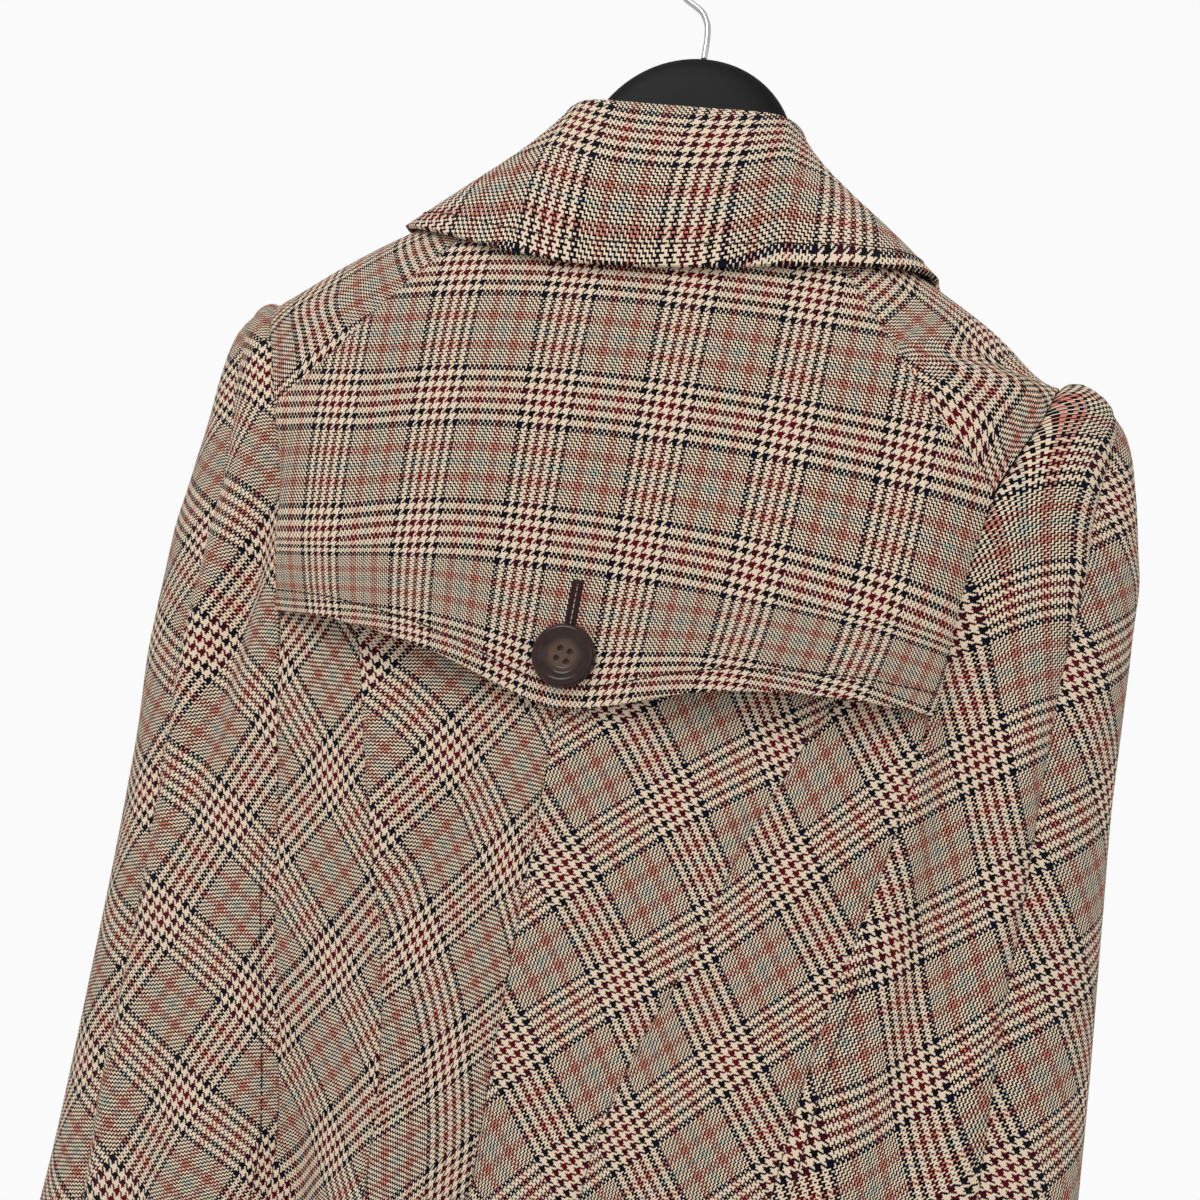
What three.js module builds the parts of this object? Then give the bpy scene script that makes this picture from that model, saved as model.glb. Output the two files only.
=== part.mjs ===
// A checked cape coat with a buttoned storm flap across the back, hanging on a moulded hanger.
// Millimetres, +Z up. The origin is the inside top of the hook. The coat's back faces +Y,
// its front -Y, and the wearer's left is +X.
//
// Every panel is a cloth wall on one common skin. A point of the skin is given by a girth angle
// (0 at the centre back, +90 degrees at the wearer's left side, 180 at the centre front) and a
// height. Seams are curves on that skin, so neighbouring panels share their edges.
import * as THREE from 'three';

// Driving dimensions of the cloth
const WALL = 2.0;
const SEAM_GAP = 0.3;
const HEM_Z = -1010;
const BACK_NECK_Z = -150;
const SIDE_NECK_Z = -141;
const FRONT_NECK_Z = -209;
const FRONT_YOKE_Z = -155;
const SHOULDER_END_Z = -220.5;
const YOKE_END_Z = -279.5;
const PRINCESS_TOP_Z = -345;
const FRONT_LAP = 25;
const FRONT_LIFT = 3;

// Driving dimensions of the flap, collar, buttons and slits
const FLAP_STAND_OFF = 13;
const FLAP_BUTTON_STAND_OFF = 5;
const FLAP_END_STAND_OFF = 2.5;
const COLLAR_CLEARANCE = 3.5;
const COLLAR_ROLL = 6;
const COLLAR_SEAT = 0.75;
const BUTTON_RADIUS = 14;
const BUTTON_THICKNESS = 4.6;
const BACK_BUTTON_Z = -381;
const FRONT_BUTTON_HEIGHTS = [-262, -372, -482, -592];
const SLIT_TOP_Z = -560;
const SLIT_BOTTOM_Z = -760;
const SLIT_STAND_OFF = 8;
const HEAD_PUFF = 7;
const OVERARM_GROOVE = 2.5;

// Driving dimensions of the hanger
const DOME_TOP_Z = -66.5;
const DOME_RADIUS = 53;
const HANGER_SEAT = 0.8;
const WIRE_RADIUS = 1.6;
const HOOK_RADIUS = 21;

// Sections of the skin at a height: half widths on the wearer's left and right, depth behind and
// before the hanger's plane, and how square the curve is (2 is an ellipse)
const SECTIONS = [
  { z: -141, left: 64, right: 64, back: 34, front: 34, power: 2.0 },
  { z: -158, left: 98, right: 98, back: 45, front: 41, power: 2.1 },
  { z: -177, left: 131, right: 131, back: 54, front: 45, power: 2.2 },
  { z: -197, left: 161, right: 162, back: 60, front: 50, power: 2.25 },
  { z: -220.5, left: 192, right: 192, back: 65, front: 55, power: 2.2 },
  { z: -224, left: 196.5, right: 204, back: 65.6, front: 55.7, power: 2.2 },
  { z: -231, left: 202.5, right: 214, back: 66.7, front: 57, power: 2.2 },
  { z: -243, left: 208, right: 220, back: 68.5, front: 59, power: 2.15 },
  { z: -259, left: 211.5, right: 225, back: 70, front: 62, power: 2.15 },
  { z: -285, left: 216, right: 232, back: 72, front: 65, power: 2.15 },
  { z: -310, left: 221, right: 237.5, back: 73, front: 68, power: 2.2 },
  { z: -345, left: 225.5, right: 238.5, back: 74, front: 71, power: 2.25 },
  { z: -395, left: 225.5, right: 238.5, back: 76, front: 75, power: 2.3 },
  { z: -450, left: 221.5, right: 240.5, back: 79, front: 78, power: 2.3 },
  { z: -530, left: 219.5, right: 244, back: 83.5, front: 83, power: 2.3 },
  { z: -620, left: 219, right: 246.5, back: 89, front: 89, power: 2.3 },
  { z: -800, left: 232, right: 254, back: 102, front: 100, power: 2.25 },
  { z: -1010, left: 256, right: 270, back: 118, front: 114, power: 2.2 },
];

// Seams: distance from the centre line at a height
const YOKE_SEAM = [
  { z: -150, x: 60 }, { z: -172, x: 79 }, { z: -195, x: 98 }, { z: -213, x: 111.5 },
  { z: -234, x: 127.5 }, { z: -249, x: 139.5 }, { z: -263, x: 153 }, { z: -279.5, x: 169 },
];
const FRONT_YOKE_SEAM = [
  { z: -155, x: 58 }, { z: -181, x: 84 }, { z: -220.5, x: 118 }, { z: -250, x: 142 }, { z: -279.5, x: 166 },
];
const ARMHOLE = [
  { z: -220.5, left: 192, right: 192 }, { z: -243, left: 183, right: 185 },
  { z: -259, left: 176, right: 178 }, { z: -279.5, left: 169, right: 170 },
  { z: -310, left: 159, right: 164 }, { z: -345, left: 149, right: 160 },
  { z: -380, left: 139.5, right: 156.5 }, { z: -420, left: 130, right: 150.5 },
  { z: -455, left: 121, right: 143 }, { z: -505, left: 110, right: 132 },
  { z: -560, left: 97, right: 123 }, { z: -620, left: 88, right: 117 },
  { z: -700, left: 90, right: 118 }, { z: -845, left: 122, right: 138 },
  { z: -1010, left: 160, right: 168 },
];
const FRONT_ARMHOLE = [
  { z: -220.5, x: 192 }, { z: -243, x: 182 }, { z: -259, x: 174 }, { z: -279.5, x: 166 },
  { z: -310, x: 156 }, { z: -345, x: 149 }, { z: -430, x: 140 }, { z: -600, x: 134 },
  { z: -740, x: 140 }, { z: -1010, x: 172 },
];
const PRINCESS = [
  { z: -345, left: 146, right: 157 }, { z: -360, left: 123, right: 136 },
  { z: -375, left: 105, right: 121 }, { z: -390, left: 96, right: 111 },
  { z: -420, left: 87, right: 98.5 }, { z: -445, left: 79.5, right: 88 },
  { z: -495, left: 64, right: 74 }, { z: -540, left: 50, right: 56.5 },
  { z: -590, left: 42, right: 46 }, { z: -645, left: 39, right: 43 },
  { z: -740, left: 47, right: 51 }, { z: -845, left: 62, right: 67 }, { z: -1010, left: 88, right: 92 },
];
// The over-arm seam, as a girth angle in degrees
const OVERARM = [
  { z: -220.5, left: 90, right: 90 }, { z: -231, left: 76, right: 83 },
  { z: -248, left: 68, right: 74 }, { z: -265, left: 65, right: 68 },
  { z: -285, left: 61.5, right: 64 }, { z: -325, left: 56, right: 60 },
  { z: -370, left: 54.5, right: 57 }, { z: -430, left: 54.5, right: 55.5 },
  { z: -500, left: 54.5, right: 53 }, { z: -590, left: 55, right: 52 },
  { z: -660, left: 53, right: 53 }, { z: -1010, left: 58, right: 58 },
];

// Folds: face is 1 behind and -1 before, and depth is negative for a trough. A fold rises from
// nothing at its top to its full depth at its middle, and keeps the share "kept" at its end.
const FOLDS = [
  { face: 1, depth: -9, width: 10, topZ: -262, topX: 159,
    midZ: -365, midX: 163, endZ: -520, endX: 170, kept: 0 },
  { face: 1, depth: 4, width: 13, topZ: -290, topX: 184,
    midZ: -390, midX: 188, endZ: -600, endX: 192, kept: 0 },
  { face: 1, depth: -9, width: 11, topZ: -255, topX: -166,
    midZ: -360, midX: -169, endZ: -720, endX: -166, kept: 0 },
  { face: 1, depth: 4, width: 14, topZ: -300, topX: -192,
    midZ: -400, midX: -192, endZ: -640, endX: -190, kept: 0 },
  { face: 1, depth: -5, width: 11, topZ: -405, topX: 26,
    midZ: -470, midX: 44, endZ: -560, endX: 98, kept: 0 },
  { face: 1, depth: -11, width: 12, topZ: -525, topX: 3,
    midZ: -690, midX: -2, endZ: -1010, endX: -12, kept: 1 },
  { face: 1, depth: 8, width: 17, topZ: -470, topX: 52,
    midZ: -660, midX: 38, endZ: -1010, endX: 50, kept: 1 },
  { face: 1, depth: -13, width: 14, topZ: -520, topX: 106,
    midZ: -650, midX: 76, endZ: -1010, endX: 98, kept: 1 },
  { face: 1, depth: 8, width: 19, topZ: -520, topX: 140,
    midZ: -650, midX: 122, endZ: -1010, endX: 152, kept: 1 },
  { face: 1, depth: -10, width: 20, topZ: -600, topX: 172,
    midZ: -820, midX: 184, endZ: -1010, endX: 206, kept: 1 },
  { face: 1, depth: -12, width: 18, topZ: -540, topX: -44,
    midZ: -760, midX: -60, endZ: -1010, endX: -76, kept: 1 },
  { face: 1, depth: -13, width: 19, topZ: -560, topX: -112,
    midZ: -760, midX: -128, endZ: -1010, endX: -152, kept: 1 },
  { face: 1, depth: -9, width: 20, topZ: -600, topX: -182,
    midZ: -820, midX: -196, endZ: -1010, endX: -216, kept: 1 },
  { face: -1, depth: -7, width: 13, topZ: -262, topX: 158,
    midZ: -350, midX: 162, endZ: -560, endX: 168, kept: 0 },
  { face: -1, depth: -7, width: 13, topZ: -262, topX: -158,
    midZ: -350, midX: -162, endZ: -560, endX: -166, kept: 0 },
  { face: -1, depth: -11, width: 20, topZ: -500, topX: 66,
    midZ: -780, midX: 80, endZ: -1010, endX: 94, kept: 1 },
  { face: -1, depth: -11, width: 19, topZ: -560, topX: 176,
    midZ: -800, midX: 192, endZ: -1010, endX: 208, kept: 1 },
  { face: -1, depth: -11, width: 20, topZ: -520, topX: -74,
    midZ: -780, midX: -88, endZ: -1010, endX: -104, kept: 1 },
  { face: -1, depth: -12, width: 19, topZ: -540, topX: -178,
    midZ: -800, midX: -192, endZ: -1010, endX: -210, kept: 1 },
];

// The flap's lower edge and how far it stands off the back there, by distance from the middle
const FLAP_EDGE = [
  { x: 0, z: -403.5 }, { x: 10, z: -402.5 }, { x: 20, z: -400 }, { x: 36, z: -395 },
  { x: 54, z: -389.5 }, { x: 72, z: -385.5 }, { x: 100, z: -382 }, { x: 126, z: -380.5 }, { x: 150, z: -380 },
];

// The collar from the centre back (t 0) over the shoulder to the centre front (t 1):
// its fold line, and the fall's outer edge as a girth angle in degrees and a height on the skin
const COLLAR_FOLD = [
  { t: 0, left: 0, right: 0, y: 37, z: -112 }, { t: 0.1, left: 19, right: 19, y: 36, z: -111.5 },
  { t: 0.2, left: 37, right: 36, y: 32, z: -109.5 }, { t: 0.3, left: 50, right: 48, y: 23, z: -107 },
  { t: 0.4, left: 57, right: 53, y: 12, z: -106.5 }, { t: 0.5, left: 59, right: 54.5, y: -1, z: -109.5 },
  { t: 0.6, left: 56, right: 52.5, y: -16, z: -119 }, { t: 0.7, left: 48, right: 46, y: -30, z: -136 },
  { t: 0.8, left: 37, right: 36, y: -41, z: -156 }, { t: 0.9, left: 21, right: 21, y: -49, z: -176 },
  { t: 1, left: 3, right: 3, y: -54, z: -195 },
];
const COLLAR_EDGE = [
  { t: 0, deg: 0, left: -200.5, right: -200.5 }, { t: 0.15, deg: 11, left: -201.5, right: -197 },
  { t: 0.3, deg: 23, left: -197.5, right: -192 }, { t: 0.42, deg: 36, left: -191, right: -186.5 },
  { t: 0.53, deg: 56, left: -183, right: -180 }, { t: 0.62, deg: 90, left: -176.5, right: -175.5 },
  { t: 0.71, deg: 126, left: -197, right: -197 }, { t: 0.81, deg: 144, left: -226, right: -226 },
  { t: 0.91, deg: 153, left: -253, right: -253 }, { t: 1, deg: 159, left: -277, right: -277 },
];

// Heights of the grid rows shared by all panels, and the spacing of the columns
const YOKE_ROWS = [-150, -165, -181, -197, -203, -209, -220.5, -221.5, -224, -231, -243, -259, -279.5];
const FRONT_NECK_ROWS = [FRONT_YOKE_Z - 1, -165, -173, -181, -189, -197, -203, -206.5, FRONT_NECK_Z];
const LOWER_ROWS = [
  -310, -345, -360, -375, -405, -440, -480, -520, -560, -600, -645, -690, -740, -790, -845, -900, -955, HEM_Z,
];
const BACK_COLUMNS = [0, 0.14, 0.28, 0.42, 0.56, 0.7, 0.85, 1];
const SIDE_BACK_COLUMNS = [0, 0.25, 0.5, 0.75, 1];
const CAPE_COLUMNS = [0, 0.06, 0.16, 0.29, 0.44, 0.6, 0.76, 0.9, 1];
const FRONT_COLUMNS = [0, 0.14, 0.28, 0.42, 0.56, 0.7, 0.85, 1];
const COLLAR_STEPS = 16;

const SIDES = [{ name: 'left', sign: 1 }, { name: 'right', sign: -1 }];
const QUARTER = Math.PI / 2;
const clothLook = { color: 0x8c7560, roughness: 0.95, metalness: 0 };
const hornLook = { color: 0x2a1a16, roughness: 0.25, metalness: 0 };
const plasticLook = { color: 0x17171a, roughness: 0.55, metalness: 0 };
const wireLook = { color: 0xd0d2d5, roughness: 0.15, metalness: 1 };

// Small helpers
const mix = (a, b, t) => a + (b - a) * t;
const clamp01 = (t) => Math.min(1, Math.max(0, t));
function ease(from, to, value) {
  const t = clamp01((value - from) / (to - from));
  return t * t * (3 - 2 * t);
}

const bell = (away, width) => Math.exp(-((away / width) ** 2));

// A smooth value from a table: cubic pieces whose slopes never overshoot the rows
function lookUp(rows, key, field, at) {
  const down = rows[0][key] > rows[rows.length - 1][key];
  const k = rows.map((row) => (down ? -row[key] : row[key]));
  const v = rows.map((row) => row[field]);
  const p = down ? -at : at;
  if (p <= k[0]) return v[0];
  if (p >= k[k.length - 1]) return v[v.length - 1];
  let i = 0;
  while (p > k[i + 1]) i += 1;
  const slope = (j) => (v[j + 1] - v[j]) / (k[j + 1] - k[j]);
  const tangent = (j) => {
    if (j === 0) return slope(0);
    if (j === k.length - 1) return slope(j - 1);
    const a = slope(j - 1);
    const b = slope(j);
    return a * b <= 0 ? 0 : (2 * a * b) / (a + b);
  };
  const h = k[i + 1] - k[i];
  const t = (p - k[i]) / h;
  const t2 = t * t;
  const t3 = t2 * t;
  return (2 * t3 - 3 * t2 + 1) * v[i] + (t3 - 2 * t2 + t) * h * tangent(i)
    + (3 * t2 - 2 * t3) * v[i + 1] + (t3 - t2) * h * tangent(i + 1);
}

const section = (z, field) => lookUp(SECTIONS, 'z', field, z);
const sideOf = (x) => (x >= 0 ? 'left' : 'right');
const seamX = (seam, z, sign) => lookUp(seam, 'z', 'x' in seam[0] ? 'x' : sideOf(sign), z);

// How far all folds together move the skin outwards at a place
function foldDepth(x, z, cosine) {
  let sum = 0;
  for (const fold of FOLDS) {
    const path = [
      { z: fold.topZ, x: fold.topX }, { z: fold.midZ, x: fold.midX }, { z: fold.endZ, x: fold.endX },
    ];
    const across = bell(x - lookUp(path, 'z', 'x', z), fold.width);
    const along = ease(fold.topZ, fold.midZ, z) * mix(1, fold.kept, ease(fold.midZ, fold.endZ, z));
    const onFace = ease(-0.05, 0.2, cosine * fold.face);
    sum += fold.depth * across * along * onFace;
  }
  return sum;
}

// A point of the skin from its girth angle and height
function skin(angle, z) {
  const power = section(z, 'power');
  const s = Math.sin(angle);
  const c = Math.cos(angle);
  const size = (Math.abs(s) ** power + Math.abs(c) ** power) ** (-1 / power);
  const half = section(z, sideOf(s));
  const depth = section(z, c >= 0 ? 'back' : 'front');
  const x = half * size * s;
  const y = depth * size * c;
  const out = new THREE.Vector2(x / half ** 2, y / depth ** 2).normalize();
  const fold = foldDepth(x, z, c);
  return new THREE.Vector3(x + out.x * fold, y + out.y * fold, z);
}

// The skin's outward direction, from its slopes along the girth and down
function outward(angle, z) {
  const da = 0.004;
  const dz = 1;
  const around = skin(angle + da, z).sub(skin(angle - da, z));
  const down = skin(angle, z - dz).sub(skin(angle, z + dz));
  return new THREE.Vector3().crossVectors(around, down).normalize();
}

// The girth angle of a seam given by its distance from the centre line
function angleAt(x, z, face) {
  const power = section(z, 'power');
  const ratio = Math.min(1, Math.abs(x) / section(z, sideOf(x)));
  const angle = Math.atan2(ratio, (1 - ratio ** power) ** (1 / power));
  return Math.sign(x || 1) * (face > 0 ? angle : Math.PI - angle);
}

// A closed mesh from two matching grids of points, the outer and the inner face of a wall
function wallGeometry(outer, inner) {
  const rows = outer.length;
  const columns = outer[0].length;
  const points = [...outer.flat(), ...inner.flat()];
  const at = (layer, i, j) => layer * rows * columns + i * columns + j;
  const faces = [];
  const quad = (a, b, c, d) => faces.push(a, b, c, a, c, d);
  for (let i = 0; i < rows - 1; i += 1) {
    for (let j = 0; j < columns - 1; j += 1) {
      quad(at(0, i, j), at(0, i + 1, j), at(0, i + 1, j + 1), at(0, i, j + 1));
      quad(at(1, i, j), at(1, i, j + 1), at(1, i + 1, j + 1), at(1, i + 1, j));
    }
  }
  for (let i = 0; i < rows - 1; i += 1) {
    quad(at(0, i, 0), at(1, i, 0), at(1, i + 1, 0), at(0, i + 1, 0));
    quad(at(0, i, columns - 1), at(0, i + 1, columns - 1), at(1, i + 1, columns - 1), at(1, i, columns - 1));
  }
  for (let j = 0; j < columns - 1; j += 1) {
    quad(at(0, 0, j), at(0, 0, j + 1), at(1, 0, j + 1), at(1, 0, j));
    quad(at(0, rows - 1, j), at(1, rows - 1, j), at(1, rows - 1, j + 1), at(0, rows - 1, j + 1));
  }
  return solidGeometry(points, faces);
}

// A mesh from points and triangles, with its faces turned outwards
function solidGeometry(points, faces) {
  let volume = 0;
  for (let i = 0; i < faces.length; i += 3) {
    const [a, b, c] = [points[faces[i]], points[faces[i + 1]], points[faces[i + 2]]];
    volume += a.dot(new THREE.Vector3().crossVectors(b, c));
  }
  const index = volume >= 0 ? faces : faces.map((_, i) => faces[i - (i % 3) + [0, 2, 1][i % 3]]);
  const geometry = new THREE.BufferGeometry().setFromPoints(points);
  geometry.setIndex(index);
  geometry.computeVertexNormals();
  return geometry;
}

// Moves the points on a grid's chosen edges inwards along the grid by half a seam gap
function openSeams(grid, edges) {
  const rows = grid.length;
  const columns = grid[0].length;
  const shift = (point, next) => point.clone().add(next.clone().sub(point).setLength(SEAM_GAP / 2));
  let moved = grid;
  if (edges.includes('first')) moved = moved.map((row) => [shift(row[0], row[1]), ...row.slice(1)]);
  if (edges.includes('last')) {
    moved = moved.map((row) => [...row.slice(0, columns - 1), shift(row[columns - 1], row[columns - 2])]);
  }
  if (edges.includes('bottom')) {
    const edge = moved[rows - 1].map((point, j) => shift(point, moved[rows - 2][j]));
    moved = [...moved.slice(0, rows - 1), edge];
  }
  return moved;
}

// A cloth panel: at(u, v) gives the angle and height of a grid point, lift(u, v) how far it
// stands above the skin, and edges names the sides that meet another panel
function panel(name, rows, columns, at, lift, edges) {
  const outer = [];
  const inner = [];
  for (const v of rows) {
    const outerRow = [];
    const innerRow = [];
    for (const u of columns) {
      const { angle, z } = at(u, v);
      const base = skin(angle, z);
      const normal = outward(angle, z);
      const height = lift(u, v);
      outerRow.push(base.clone().addScaledVector(normal, height));
      innerRow.push(base.clone().addScaledVector(normal, height - WALL));
    }
    outer.push(outerRow);
    inner.push(innerRow);
  }
  return pieceMesh(name, wallGeometry(openSeams(outer, edges), openSeams(inner, edges)), clothLook);
}

function pieceMesh(name, geometry, look) {
  const mesh = new THREE.Mesh(geometry, new THREE.MeshStandardMaterial(look));
  mesh.name = name;
  return mesh;
}

// Under the flap the back lies one layer deeper
const underFlap = (z) => -(WALL + 1.5 * SEAM_GAP) * (1 - ease(-350, -425, z));

// The back's outer seam: yoke, then armhole, then princess seam
function backOuter(sign, z) {
  let seam = z >= YOKE_END_Z ? YOKE_SEAM : ARMHOLE;
  if (z <= PRINCESS_TOP_Z) seam = PRINCESS;
  return angleAt(sign * seamX(seam, z, sign), z, 1);
}

function backPanel(side) {
  const rows = [...YOKE_ROWS, ...LOWER_ROWS];
  const at = (u, z) => ({ angle: backOuter(side.sign, z) * u, z });
  return panel(`back_${side.name}`, rows, BACK_COLUMNS, at, (u, z) => underFlap(z), ['first', 'last']);
}

function sideBackPanel(side) {
  const rows = LOWER_ROWS.filter((z) => z <= PRINCESS_TOP_Z);
  const at = (u, z) => {
    const inner = angleAt(side.sign * seamX(PRINCESS, z, side.sign), z, 1);
    const outer = angleAt(side.sign * seamX(ARMHOLE, z, side.sign), z, 1);
    return { angle: mix(inner, outer, u), z };
  };
  const lift = (u, z) => underFlap(z);
  return panel(`side_back_${side.name}`, rows, SIDE_BACK_COLUMNS, at, lift, ['first', 'last']);
}

// The gathered head of the cape stands up from its seam and settles below the shoulder
const puff = (away, z) => HEAD_PUFF * (1 - Math.exp(-away / 5)) * (1 - ease(-235, -335, z));
const groove = (away) => -OVERARM_GROOVE * bell(away, 7);

function capePanels(side) {
  const rows = [...YOKE_ROWS, ...LOWER_ROWS].filter((z) => z < SHOULDER_END_Z);
  const overarm = (z) => side.sign * THREE.MathUtils.degToRad(seamX(OVERARM, z, side.sign));
  const behind = (z) => angleAt(side.sign * seamX(ARMHOLE, z, side.sign), z, 1);
  const before = (z) => angleAt(side.sign * seamX(FRONT_ARMHOLE, z), z, -1);
  const girth = (a, b, z) => skin(a, z).distanceTo(skin(b, z));
  const back = panel(
    `cape_back_${side.name}`, rows, CAPE_COLUMNS,
    (u, z) => ({ angle: mix(behind(z), overarm(z), u), z }),
    (u, z) => {
      const width = girth(behind(z), overarm(z), z);
      return puff(u * width, z) + groove((1 - u) * width);
    },
    ['first', 'last'],
  );
  const mouth = (z) => {
    const t = clamp01((SLIT_TOP_Z - z) / (SLIT_TOP_Z - SLIT_BOTTOM_Z));
    return SLIT_STAND_OFF * Math.sin(Math.PI * t) ** 2;
  };
  const frontGirth = (z) => girth(overarm(z), before(z), z);
  const front = panel(
    `cape_front_${side.name}`, rows, CAPE_COLUMNS.map((u) => 1 - u).reverse(),
    (u, z) => ({ angle: mix(overarm(z), before(z), u), z }),
    (u, z) => puff((1 - u) * frontGirth(z), z) + groove(u * frontGirth(z))
      + mouth(z) * bell((1 - u) * frontGirth(z), 24),
    ['first', 'last'],
  );
  return [back, front];
}

// The fronts lap at the centre, the wearer's right over the left
function neckEdgeX(z) {
  if (z <= FRONT_NECK_Z) return -FRONT_LAP;
  const t = (FRONT_YOKE_Z - z) / (FRONT_YOKE_Z - FRONT_NECK_Z);
  return mix(-FRONT_LAP, seamX(FRONT_YOKE_SEAM, FRONT_YOKE_Z), Math.sqrt(1 - t * t));
}

function frontInner(sign, z) {
  const x = neckEdgeX(z);
  return sign * (Math.PI - Math.sign(x) * angleAt(Math.abs(x), z, 1));
}

function frontOuter(sign, z) {
  const seam = z >= YOKE_END_Z ? FRONT_YOKE_SEAM : FRONT_ARMHOLE;
  return angleAt(sign * seamX(seam, z), z, -1);
}

function frontPanel(side) {
  const rows = [...FRONT_NECK_ROWS, ...YOKE_ROWS.filter((z) => z < FRONT_NECK_Z), ...LOWER_ROWS];
  const at = (u, z) => ({ angle: mix(frontInner(side.sign, z), frontOuter(side.sign, z), u), z });
  const lap = (u, z) => {
    const { angle } = at(u, z);
    const fromCentre = Math.abs(skin(angle, z).x) * (Math.abs(angle) > Math.PI ? -1 : 1);
    return side.sign < 0 ? FRONT_LIFT * (1 - ease(FRONT_LAP, 3 * FRONT_LAP, fromCentre)) : 0;
  };
  return panel(`front_${side.name}`, rows, FRONT_COLUMNS, at, lap, ['last']);
}

// The shoulder yoke runs from the neck to the end of the shoulder and over it from the back
// yoke seam (u 1) to the front one (u -1)
const yokeEnd = YOKE_ROWS.filter((z) => z <= SHOULDER_END_Z);
const yokeColumn = (z) => Math.sqrt((SHOULDER_END_Z - z) / (SHOULDER_END_Z - YOKE_END_Z));

function yokePlace(sign, u, row) {
  const behind = u >= 0;
  const size = Math.abs(u);
  const top = behind ? BACK_NECK_Z : FRONT_NECK_ROWS[0];
  const seamZ = row === 0 ? top : YOKE_ROWS[row];
  const along = (YOKE_ROWS[row] - BACK_NECK_Z) / (YOKE_END_Z - BACK_NECK_Z);
  const ridgeZ = mix(SIDE_NECK_Z, SHOULDER_END_Z, along);
  const z = mix(ridgeZ, seamZ, size * size);
  const seam = behind ? YOKE_SEAM : FRONT_YOKE_SEAM;
  const hole = behind ? ARMHOLE : FRONT_ARMHOLE;
  const face = behind ? 1 : -1;
  const fromRidge = (x, height) => Math.abs(angleAt(x, height, face)) - QUARTER;
  const endZ = mix(SHOULDER_END_Z, YOKE_END_Z, size * size);
  const atHole = (height) => fromRidge(sign * seamX(hole, height, sign), height);
  const share = mix(size, atHole(endZ) / atHole(YOKE_END_Z), along);
  const angle = QUARTER + fromRidge(sign * seamX(seam, seamZ, sign), seamZ) * (size === 0 ? 0 : share);
  return { angle: sign * angle, z };
}

function yokePanel(side) {
  const half = yokeEnd.map(yokeColumn);
  const columns = [...half.slice(1).reverse().map((u) => -u), ...half];
  const rows = YOKE_ROWS.map((_, i) => i);
  const at = (u, row) => yokePlace(side.sign, u, row);
  return panel(`yoke_${side.name}`, rows, columns, at, () => 0, ['first', 'last', 'bottom']);
}

// The storm flap follows the back's own grid, moved out towards its lower edge
function flapEdgeZ(sign, x) {
  return lookUp(FLAP_EDGE, 'x', 'z', Math.abs(x)) + (sign > 0 ? 1.5 : -0.5) * ease(60, 150, Math.abs(x));
}

function flapOuter(sign, z) {
  return sign * seamX(z >= YOKE_END_Z ? YOKE_SEAM : ARMHOLE, z, sign);
}

function flapPlace(u, v) {
  const sign = Math.sign(u || 1);
  const size = Math.abs(u);
  const edgeX = Math.abs(flapOuter(sign, PRINCESS_TOP_Z)) * size;
  const z = v <= 0 ? v : mix(PRINCESS_TOP_Z, flapEdgeZ(sign, edgeX), v);
  return { angle: angleAt(flapOuter(sign, z), z, 1) * size, z };
}

function flapLift(u, v) {
  const { z } = flapPlace(u, v);
  const size = Math.abs(u);
  const arcs = mix(FLAP_BUTTON_STAND_OFF, FLAP_STAND_OFF, ease(0.08, 0.4, size));
  const edge = mix(arcs, FLAP_END_STAND_OFF, ease(0.72, 1, size));
  return edge * ease(-215, -395, z) ** 1.3;
}

function stormFlap() {
  const rows = [...YOKE_ROWS, -310, PRINCESS_TOP_Z, 0.25, 0.5, 0.75, 1];
  const columns = [...BACK_COLUMNS.slice(1).reverse().map((u) => -u), ...BACK_COLUMNS];
  return panel('storm_flap', rows, columns, flapPlace, flapLift, ['first', 'last']);
}

// The collar: a wall that stands on the neckline, rolls over and falls to its outer edge
function necklinePlace(t) {
  if (t <= 0.3) {
    const x = seamX(YOKE_SEAM, BACK_NECK_Z) * (t / 0.3);
    return { angle: angleAt(x, BACK_NECK_Z, 1), z: BACK_NECK_Z };
  }
  if (t <= 0.5) return yokePlace(1, 1 - (t - 0.3) / 0.2, 0);
  if (t <= 0.65) return yokePlace(1, -(t - 0.5) / 0.15, 0);
  const turn = mix(0.0185, 1.257, (t - 0.65) / 0.35);
  const z = mix(FRONT_YOKE_Z, FRONT_NECK_Z, Math.sin(turn));
  return { angle: frontInner(1, z), z };
}

function collarFoot(t, rise) {
  const neck = necklinePlace(t);
  const before = necklinePlace(Math.max(0, t - 0.01));
  const after = necklinePlace(Math.min(1, t + 0.01));
  const along = skin(after.angle, after.z).sub(skin(before.angle, before.z));
  const normal = outward(neck.angle, neck.z);
  const up = new THREE.Vector3().crossVectors(along, normal).normalize();
  const seat = skin(neck.angle, neck.z).addScaledVector(normal, -WALL / 2);
  const towardsNeck = new THREE.Vector3(0, 0, DOME_TOP_Z).sub(seat);
  return seat.addScaledVector(up, Math.sign(up.dot(towardsNeck)) * rise);
}

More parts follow.
